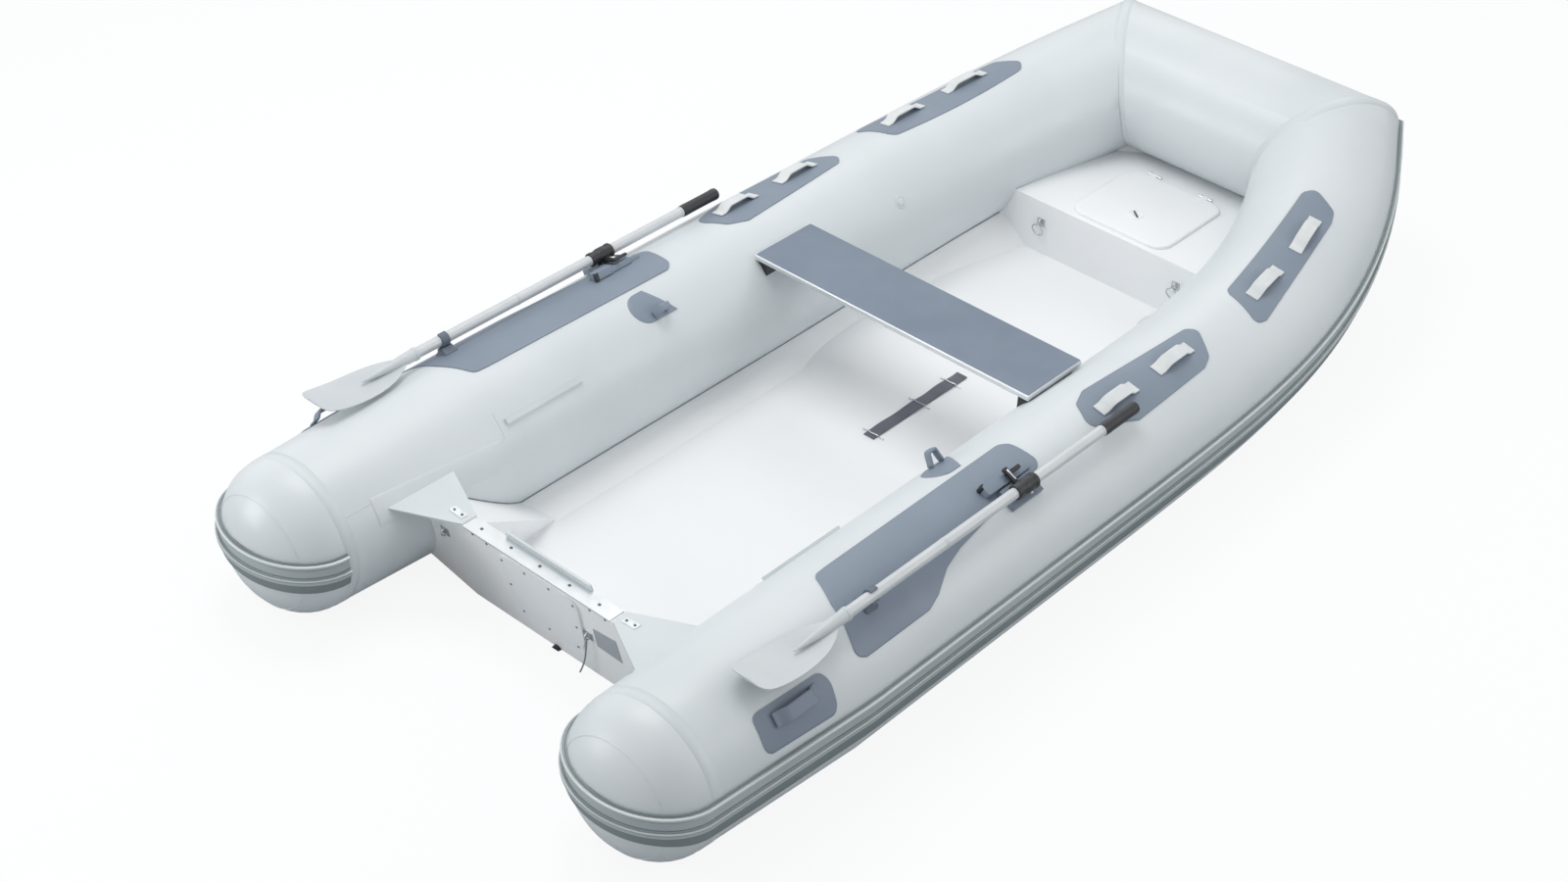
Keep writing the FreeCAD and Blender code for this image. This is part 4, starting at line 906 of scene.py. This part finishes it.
@dataclass(frozen=True)
class Transom:
    """Raked transom board with its cap, engine pads, screws, drain and cord, in metres and radians.

    The route, the screws and the plate lie by the board's own plane: to port, up from its top, and aft.
    """

    rake: float = math.radians(15)
    top: float = 0.280
    route: tuple[tuple[float, float, float], ...] = (
        (-0.139, -0.1375, 0.011), (-0.132, -0.172, 0.014), (-0.121, -0.218, 0.019), (-0.103, -0.262, 0.023),
        (-0.080, -0.305, 0.025), (-0.052, -0.340, 0.024), (-0.022, -0.358, 0.020), (0.003, -0.362, 0.016))
    cord_radius: float = 0.002
    pad_screws: Pairs = ((0.118, -0.030), (0.040, -0.024), (-0.040, -0.024), (-0.118, -0.030), (0.112, -0.116),
                         (-0.108, -0.117), (0.094, -0.206), (0.009, -0.212), (-0.090, -0.206))
    board_screws: Pairs = ((0.218, -0.010), (0.170, -0.012), (-0.172, -0.012), (-0.222, -0.010))
    cap_screws: tuple[float, ...] = (0.204, 0.104, 0.008, -0.090, -0.187)
    cap_x: float = 0.020
    cap_z: float = 0.2842
    gusset_screws: Pairs = ((0.273, 0.2885), (0.299, 0.29006))
    cap_head: float = 0.0042
    head: float = 0.0034
    plate_corners: Pairs = ((-0.164, -0.086), (-0.239, -0.077), (-0.242, -0.158), (-0.162, -0.154))

    def place(self, y: float, w: float, aft: float) -> Vector:
        """Place by the board's own plane: to port, up from its top edge, and aft of its aft face."""
        return Vector((-w * math.sin(self.rake) - aft * math.cos(self.rake), y,
                       self.top + w * math.cos(self.rake) - aft * math.sin(self.rake)))

    def screw(self, shell: Shell, base: Vector, first: Vector, radius: float) -> None:
        """Add a domed screw head on its base, with the first unit vector across it and square to port."""
        dome = ((1.0, -0.2), (1.0, 0.1), (0.85, 0.35), (0.55, 0.5), (0.4, 0.5), (0.3, 0.25))
        shell.loft(turned(base, first, PORTWARD, [(r * radius, h * radius) for r, h in dome], 16))

    def screws(self) -> None:
        """Steel screws in the cap, the gusset plates and the board."""
        shell = Shell()
        for y in self.cap_screws:
            self.screw(shell, Vector((self.cap_x, y, self.cap_z)), FORE, self.cap_head)
        for side in (PORT, STARBOARD):
            for y, z in self.gusset_screws:
                self.screw(shell, Vector((0.021, side * y, z)), FORE, self.head)
        down = self.place(0, -1, 0) - self.place(0, 0, 0)
        for places, lift in ((self.pad_screws, 0.0061), (self.board_screws, 0.0001)):
            for y, w in places:
                self.screw(shell, self.place(y, w, lift), down, self.head)
        shell.object("transom_screws", SCREW)

    def plate(self) -> None:
        """Bare plate on the board, with no words on it."""
        shell = Shell()
        shell.loft([[self.place(y, w, aft) for y, w in self.plate_corners] for aft in (-0.0002, 0.0012)])
        shell.object("bare_plate", PLATE)

    def cord(self) -> None:
        """Cord from its eye to the drain plug."""
        curve = bpy.data.curves.new("plug_cord", "CURVE")
        curve.dimensions = "3D"
        curve.bevel_depth = self.cord_radius
        curve.bevel_resolution = 4
        curve.resolution_u = 12
        spline = curve.splines.new("NURBS")
        spline.points.add(len(self.route) - 1)
        for point, row in zip(spline.points, self.route):
            point.co = (*self.place(*row), 1.0)
        spline.order_u = 3
        spline.use_endpoint_u = True
        curve.materials.append(CORD.material)
        piece = bpy.data.objects.new("plug_cord", curve)
        bpy.context.scene.collection.objects.link(piece)
        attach(piece, "hull")
        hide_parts("drain_lanyard")
        self.place(*self.route[0])
        log.info("plug_cord                %.3f m long", spline.calc_length())

    def build(self) -> None:
        """Build and dress the whole sub-assembly."""
        dress(BOARD, "transom_board")
        dress(TAPE, "transom_gussets", "motor_pad_inner")
        dress(PLANK, "transom_cap", "gusset_plates")
        dress(ENGINE_PAD, "motor_pad_outer")
        dress(NYLON, "drain_hood")
        dress(PLUG, "drain_plug")
        self.cord()
        self.screws()
        self.plate()


@dataclass(frozen=True)
class Bench:
    """Seat plank across the tubes, in metres: bare aluminium edges round a non-slip top."""

    aft: float = 1.257
    length: float = 0.226
    top: float = 0.378
    thickness: float = 0.018
    corner: float = 0.005
    ends: Pairs = ((0.002, -0.461), (0.0, -0.4595), (0.0, 0.4595), (0.002, 0.461))
    coat_length: float = 0.2215
    coat_width: float = 0.919
    coat_levels: Pairs = ((0.0, -0.0005), (0.0, 0.0), (0.0008, 0.0004), (0.004, 0.0005))

    def build(self) -> None:
        """Build and dress the whole sub-assembly."""
        middle = Vector((self.aft + self.length / 2, 0, self.top - self.thickness / 2))
        upper = middle + UP * (self.thickness / 2)
        shell = Shell()
        shell.loft(stacked(lambda a, b, y: middle + Vector((a, y, b)),
                           self.length, self.thickness, self.corner, self.ends, 5))
        shell.object("seat_plank", PLANK, replaces=("seat_board",))
        shell = Shell()
        shell.loft(stacked(lambda a, b, lift: upper + Vector((a, b, lift)),
                           self.coat_length, self.coat_width, 0.004, self.coat_levels))
        shell.object("seat_top_coat", GRIT)
        dress(NYLON, "seat_blocks")


@dataclass(frozen=True)
class Oar:
    """An oar with its collar, bracket and clip, in metres, drawn upright over the tube and leaned outboard.

    Profiles hold places forward of the pin with radii. The blade's outline holds shares of its length with
    halves of its width. Each bar holds its middle forward and outboard, its size lengthwise and across, its
    foot and its top from the tube's centre, and its corner.
    """

    side: int
    line: TubeLine
    lean: float = math.radians(26)
    pivot: float = 0.920
    stand: float = 0.253
    grip_start: float = 0.309
    grip_end: float = 0.446
    rings_x: tuple[float, float] = (0.296, -0.312)
    ring_profile: Pairs = ((0.0, 0.0139), (0.001, 0.0147), (0.008, 0.0147), (0.009, 0.0139))
    blade_root: float = 0.236
    blade_tip: float = -0.058
    outline: Pairs = ((0.0, 0.012), (0.04, 0.0165), (0.1, 0.027), (0.17, 0.038), (0.25, 0.047), (0.34, 0.0535),
                      (0.44, 0.0575), (0.55, 0.0595), (0.66, 0.0602), (0.76, 0.0600), (0.84, 0.0588),
                      (0.9, 0.0570), (0.945, 0.0540), (0.972, 0.0500), (0.988, 0.0440), (1.0, 0.0340))
    rib: Pairs = ((-0.142, 0.0020), (-0.110, 0.0062), (-0.070, 0.0102), (-0.030, 0.0134), (0.004, 0.0156),
                  (0.024, 0.0160), (0.0245, 0.0172), (0.034, 0.0172), (0.0355, 0.0141))
    sleeves: Pairs = ((-0.044, 0.0142), (-0.044, 0.0175), (-0.042, 0.0190), (-0.034, 0.0190), (-0.031, 0.0178),
                      (-0.018, 0.0178), (-0.015, 0.0192), (-0.009, 0.0200), (0.009, 0.0200), (0.013, 0.0186),
                      (0.018, 0.0186), (0.021, 0.0205), (0.029, 0.0205), (0.031, 0.0190), (0.031, 0.0142))
    stem: Pairs = ((0.2306, 0.019), (0.2325, 0.020), (0.2345, 0.019), (0.2385, 0.0145), (0.243, 0.0135))
    bolt: Pairs = ((0.017, 0.0045), (0.0228, 0.0045), (0.024, 0.0035), (0.024, 0.001))
    lever_pin: Pairs = ((-0.058, 0.0018), (-0.057, 0.0026), (-0.027, 0.0026), (-0.026, 0.0018))
    wings: Sequence[tuple[float, ...]] = (
        (-0.005, -0.040, 0.014, 0.052, 0.2350, 0.2445), (0.014, -0.050, 0.052, 0.011, 0.2350, 0.2415))
    bracket_bars: Sequence[tuple[float, ...]] = (
        (-0.058, -0.048, 0.062, 0.030, 0.2120, 0.2335, 0.005),
        (0.006, -0.046, 0.078, 0.026, 0.2120, 0.2270, 0.005),
        (0.058, -0.044, 0.044, 0.018, 0.2120, 0.2215, 0.005))
    bracket_pivot: tuple[float, ...] = (-0.086, -0.060, 0.014, 0.014, 0.2120, 0.2330, 0.006)
    clip_x: float = 0.357
    clip_half: float = 0.0115
    clip_inner: float = 0.0148
    clip_outer: float = 0.0188
    clip_turns: tuple[float, float] = (100, 338)
    clip_foot: tuple[tuple[float, float, float], ...] = (
        (0.2150, 0.044, 0.050), (0.2205, 0.042, 0.047), (0.2255, 0.038, 0.030), (0.2345, 0.037, 0.022))

    @property
    def name(self) -> str:
        """Which side the oar is on."""
        return "port" if self.side == PORT else "starboard"

    @property
    def body(self) -> str:
        """Moving body of the oar."""
        return "oar_" + self.name

    @property
    def away(self) -> Vector:
        """Unit vector away from the tube's centre, along the pin."""
        return Vector((0, self.side * math.sin(self.lean), math.cos(self.lean)))

    @property
    def out(self) -> Vector:
        """Unit vector outboard, square to the pin."""
        return Vector((0, self.side * math.cos(self.lean), -math.sin(self.lean)))

    def at(self, x: float, y: float, z: float) -> Vector:
        """Place forward of the pin, outboard of the shaft's line and away from the tube's centre."""
        middle = Vector((self.pivot + x, self.side * self.line.offset, self.line.height))
        return middle + self.out * y + self.away * z

    def sleeve(self, shell: Shell, profile: Pairs, start: float = 0.0) -> None:
        """Add a form turned about the shaft, from places forward of the start with their radii."""
        shell.loft([circle(self.at(start + x, 0, self.stand), self.out, self.away, r, 32) for x, r in profile])

    def grip(self) -> None:
        """Black grip with a soft end, and the pale rings of the shaft."""
        start, end = self.grip_start, self.grip_end
        shell = Shell()
        self.sleeve(shell, ((start - 0.004, 0.0142), (start - 0.003, 0.0158), (start + 0.010, 0.0165),
                            (start + 0.030, 0.0160), (end - 0.030, 0.0160), (end - 0.012, 0.0168),
                            (end - 0.005, 0.0158), (end - 0.0015, 0.012), (end, 0.006)))
        shell.object("grip_" + self.name, NYLON, self.body, replaces=("oar_grip_" + self.name,))
        shell = Shell()
        for x in self.rings_x:
            self.sleeve(shell, self.ring_profile, x)
        shell.object("shaft_rings_" + self.name, BLADE, self.body)

    def blade(self) -> None:
        """Spooned white blade, level with the water, with a pointed rib that swells into its socket."""
        shell = Shell()
        root, tip = self.blade_root - self.pivot, self.blade_tip - self.pivot
        rings = []
        for share, half in self.outline:
            bend = math.sin(math.pi * share)
            line = self.at(root + share * (tip - root), 0, self.stand)
            drop = -0.003 - 0.010 * bend + 0.020 * share ** 4
            top, under = [], []
            for v in spread(-1, 1, 16):
                edge = 0.0011 + 0.0016 * (1 - v * v)
                dish = 0.004 * v * v * bend
                for row, lift in ((top, edge), (under, -edge)):
                    row.append(line + Vector((0, self.side * v * half, drop + dish + lift)))
            rings.append(top + list(reversed(under)))
        shell.loft(rings)
        self.sleeve(shell, self.rib, root)
        shell.object("blade_" + self.name, BLADE, self.body, replaces=("oar_blade_" + self.name,))

    def bar(self, shell: Shell, x: float, y: float, wide: float, deep: float, low: float, high: float,
            corner: float = 0.003) -> None:
        """Add a block with a softened top, by its middle, its sizes, and its foot and top as for at."""
        levels = ((0.0, low), (0.0, high - 0.0016), (0.0006, high - 0.0004), (0.0018, high))
        shell.loft(stacked(lambda a, b, z: self.at(x + a, y + b, z), wide, deep, corner, levels))

    def collar(self) -> None:
        """Black swivelling collar: two flanged sleeves with a waist between, a bolt and a winged lever."""
        shell = Shell()
        self.sleeve(shell, self.sleeves)
        shell.loft([circle(self.at(0, 0, z), FORE, self.out * 0.8, wide) for z, wide in self.stem])
        for wing in self.wings:
            self.bar(shell, *wing)
        shell.object("collar_" + self.name, NYLON, self.body, replaces=("oarlock_collar_" + self.name,))
        shell = Shell()
        bolt_z, pin_z = self.stand - 0.006, 0.2455
        shell.loft([circle(self.at(0.003, y, bolt_z), FORE, self.away, r, 16) for y, r in self.bolt])
        shell.loft([circle(self.at(-0.005, y, pin_z), FORE, self.away, r, 12) for y, r in self.lever_pin])
        shell.object("collar_bolt_" + self.name, STEEL, self.body)

    def bracket(self) -> None:
        """Slate bracket beside the collar, moulded on the pad, with a black pivot at its aft end."""
        shell = Shell()
        for bar in self.bracket_bars:
            self.bar(shell, *bar)
        shell.object("collar_bracket_" + self.name, PAD)
        shell = Shell()
        self.bar(shell, *self.bracket_pivot)
        shell.object("bracket_pivot_" + self.name, NYLON)

    def clip(self) -> None:
        """Slate C-shaped clip that holds the shaft near the blade."""
        shell = Shell()
        x = self.clip_x - self.pivot
        turns = [math.radians(turn) for turn in spread(*self.clip_turns, 22)]
        ways = ((self.clip_outer, turns), (self.clip_inner, reversed(turns)))
        profile = [(r * math.cos(t), self.stand + r * math.sin(t)) for r, way in ways for t in way]
        shell.loft([[self.at(x + dx, y, z) for y, z in profile] for dx in (-self.clip_half, self.clip_half)])
        top = self.clip_foot[-1][0]
        shell.loft([[self.at(x + a, b, z - b * b / 0.43 * max(0.0, (top - z) / 0.018))
                     for a, b in rounded(wide, deep, 0.006)] for z, wide, deep in self.clip_foot])
        shell.object("clip_" + self.name, CLAMP, replaces=("oar_clips",))

    def build(self) -> None:
        """Build and dress the whole sub-assembly."""
        dress(SHAFT, "oar_shaft_" + self.name)
        self.grip()
        self.blade()
        self.collar()
        self.bracket()
        self.clip()


@dataclass(frozen=True)
class Studio:
    """Camera at the photograph's place, soft lamps, and a pale floor at the waterline.

    Places are in metres, turns in radians, and each lamp has its name, its place, its side and its watts.
    """

    camera_place: tuple[float, float, float] = (-3.1104, -3.3250, 4.0628)
    yaw: float = -0.874543
    pitch: float = 0.640087
    roll: float = 0.052587
    focal_px: float = 2598.85
    photo_px: float = 1600.0
    sensor_mm: float = 36.0
    aim: tuple[float, float, float] = (1.3, 0.0, 0.2)
    lamps: tuple[tuple[str, tuple[float, float, float], float, float], ...] = (
        ("softbox_overhead", (1.0, 1.2, 4.4), 2.6, 79.0), ("softbox_bow", (5.5, 2.5, 3.6), 2.5, 22.0),
        ("softbox_stern", (-3.4, 3.0, 1.5), 2.0, 62.0), ("softbox_starboard", (3.4, -4.4, 2.4), 2.2, 34.0))
    world_light: float = 0.62
    floor_half: float = 30.0
    floor_paint: str = "#B8BDC1"
    floor_glow: float = 1.11
    glow_share: float = 0.8

    def camera(self) -> None:
        """Camera with the solved place, turn and lens."""
        right = Vector((math.cos(self.yaw), math.sin(self.yaw), 0))
        level = UP.cross(right)
        ahead = level * math.cos(self.pitch) - UP * math.sin(self.pitch)
        down = ahead.cross(right)
        across = right * math.cos(self.roll) - down * math.sin(self.roll)
        up = -(right * math.sin(self.roll) + down * math.cos(self.roll))
        data = bpy.data.cameras.new("camera")
        data.sensor_width = self.sensor_mm
        data.sensor_fit = "HORIZONTAL"
        data.lens = self.focal_px * self.sensor_mm / self.photo_px
        data.clip_end = 200.0
        camera = bpy.data.objects.new("camera", data)
        turn = Matrix((across, up, -ahead)).transposed().to_4x4()
        camera.matrix_world = Matrix.Translation(self.camera_place) @ turn
        bpy.context.scene.collection.objects.link(camera)
        bpy.context.scene.camera = camera

    def lamp(self, name: str, place: tuple[float, float, float], size: float, power: float) -> None:
        """Add a square soft lamp that faces the boat.

        Args:
            name: Name of the lamp.
            place: Where it hangs.
            size: Side of the square in metres.
            power: Its power in watts.
        """
        data = bpy.data.lights.new(name, "AREA")
        data.shape = "SQUARE"
        data.size = size
        data.energy = power
        lamp = bpy.data.objects.new(name, data)
        lamp.location = place
        lamp.rotation_mode = "QUATERNION"
        lamp.rotation_quaternion = (Vector(self.aim) - Vector(place)).to_track_quat("-Z", "Y")
        bpy.context.scene.collection.objects.link(lamp)

    def world(self) -> None:
        """Soft light from all round, with white for the camera, for glossy and for clear surfaces."""
        world = bpy.data.worlds.new("studio")
        world.use_nodes = True
        tree = world.node_tree
        tree.nodes.clear()
        rays = add_node(tree, "LightPath", {})
        seen = rays.outputs["Is Camera Ray"]
        for kind in ("Is Glossy Ray", "Is Transmission Ray"):
            both = add_node(tree, "Math", {0: seen, 1: rays.outputs[kind]}, operation="MAXIMUM")
            seen = both.outputs[0]
        strength = add_node(tree, "MapRange", {
            "Value": seen, "To Min": self.world_light, "To Max": 1.0})
        light = add_node(tree, "Background", {
            "Color": linear("#FFFFFF"), "Strength": strength.outputs[0]})
        add_node(tree, "OutputWorld", {"Surface": light.outputs[0]})
        bpy.context.scene.world = world

    def floor(self) -> None:
        """Pale floor at the waterline, white to the camera apart from the boat's soft shadow."""
        material = bpy.data.materials.new("studio_floor_painted")
        material.use_nodes = True
        tree = material.node_tree
        tree.nodes.clear()
        seen = add_node(tree, "LightPath", {}).outputs["Is Camera Ray"]
        paint = add_node(tree, "BsdfDiffuse", {"Color": linear(self.floor_paint)})
        glow = add_node(tree, "Emission", {"Color": linear("#FFFFFF"), "Strength": self.floor_glow})
        share = add_node(tree, "Math", {0: seen, 1: self.glow_share}, operation="MULTIPLY")
        mixed = add_node(tree, "MixShader", {
            0: share.outputs[0], 1: paint.outputs[0], 2: glow.outputs[0]})
        add_node(tree, "OutputMaterial", {"Surface": mixed.outputs[0]})
        mesh = bpy.data.meshes.new("floor")
        half = self.floor_half
        corners = [(-half, -half, 0), (half, -half, 0), (half, half, 0), (-half, half, 0)]
        mesh.from_pydata(corners, [], [(0, 1, 2, 3)])
        mesh.materials.append(material)
        floor = bpy.data.objects.new("floor", mesh)
        bpy.context.scene.collection.objects.link(floor)

    def build(self) -> None:
        """Set up camera, lamps, world and floor."""
        self.camera()
        for lamp in self.lamps:
            self.lamp(*lamp)
        self.world()
        self.floor()
        bpy.context.scene.view_settings.view_transform = "Standard"


def main() -> None:
    """Build the studio and every sub-assembly, in order."""
    Studio().build()
    line = TubeLine()
    for part in (Transom(), Buoyancy(line), TubeFittings(line), HullAndDeck(), Bench(), Oar(PORT, line),
                 Oar(STARBOARD, line)):
        log.info("-- %s", type(part).__name__)
        part.build()
    dress(PAD, "oarlock_bases")
    bpy.context.view_layer.update()


if __name__ == "__main__":
    main()
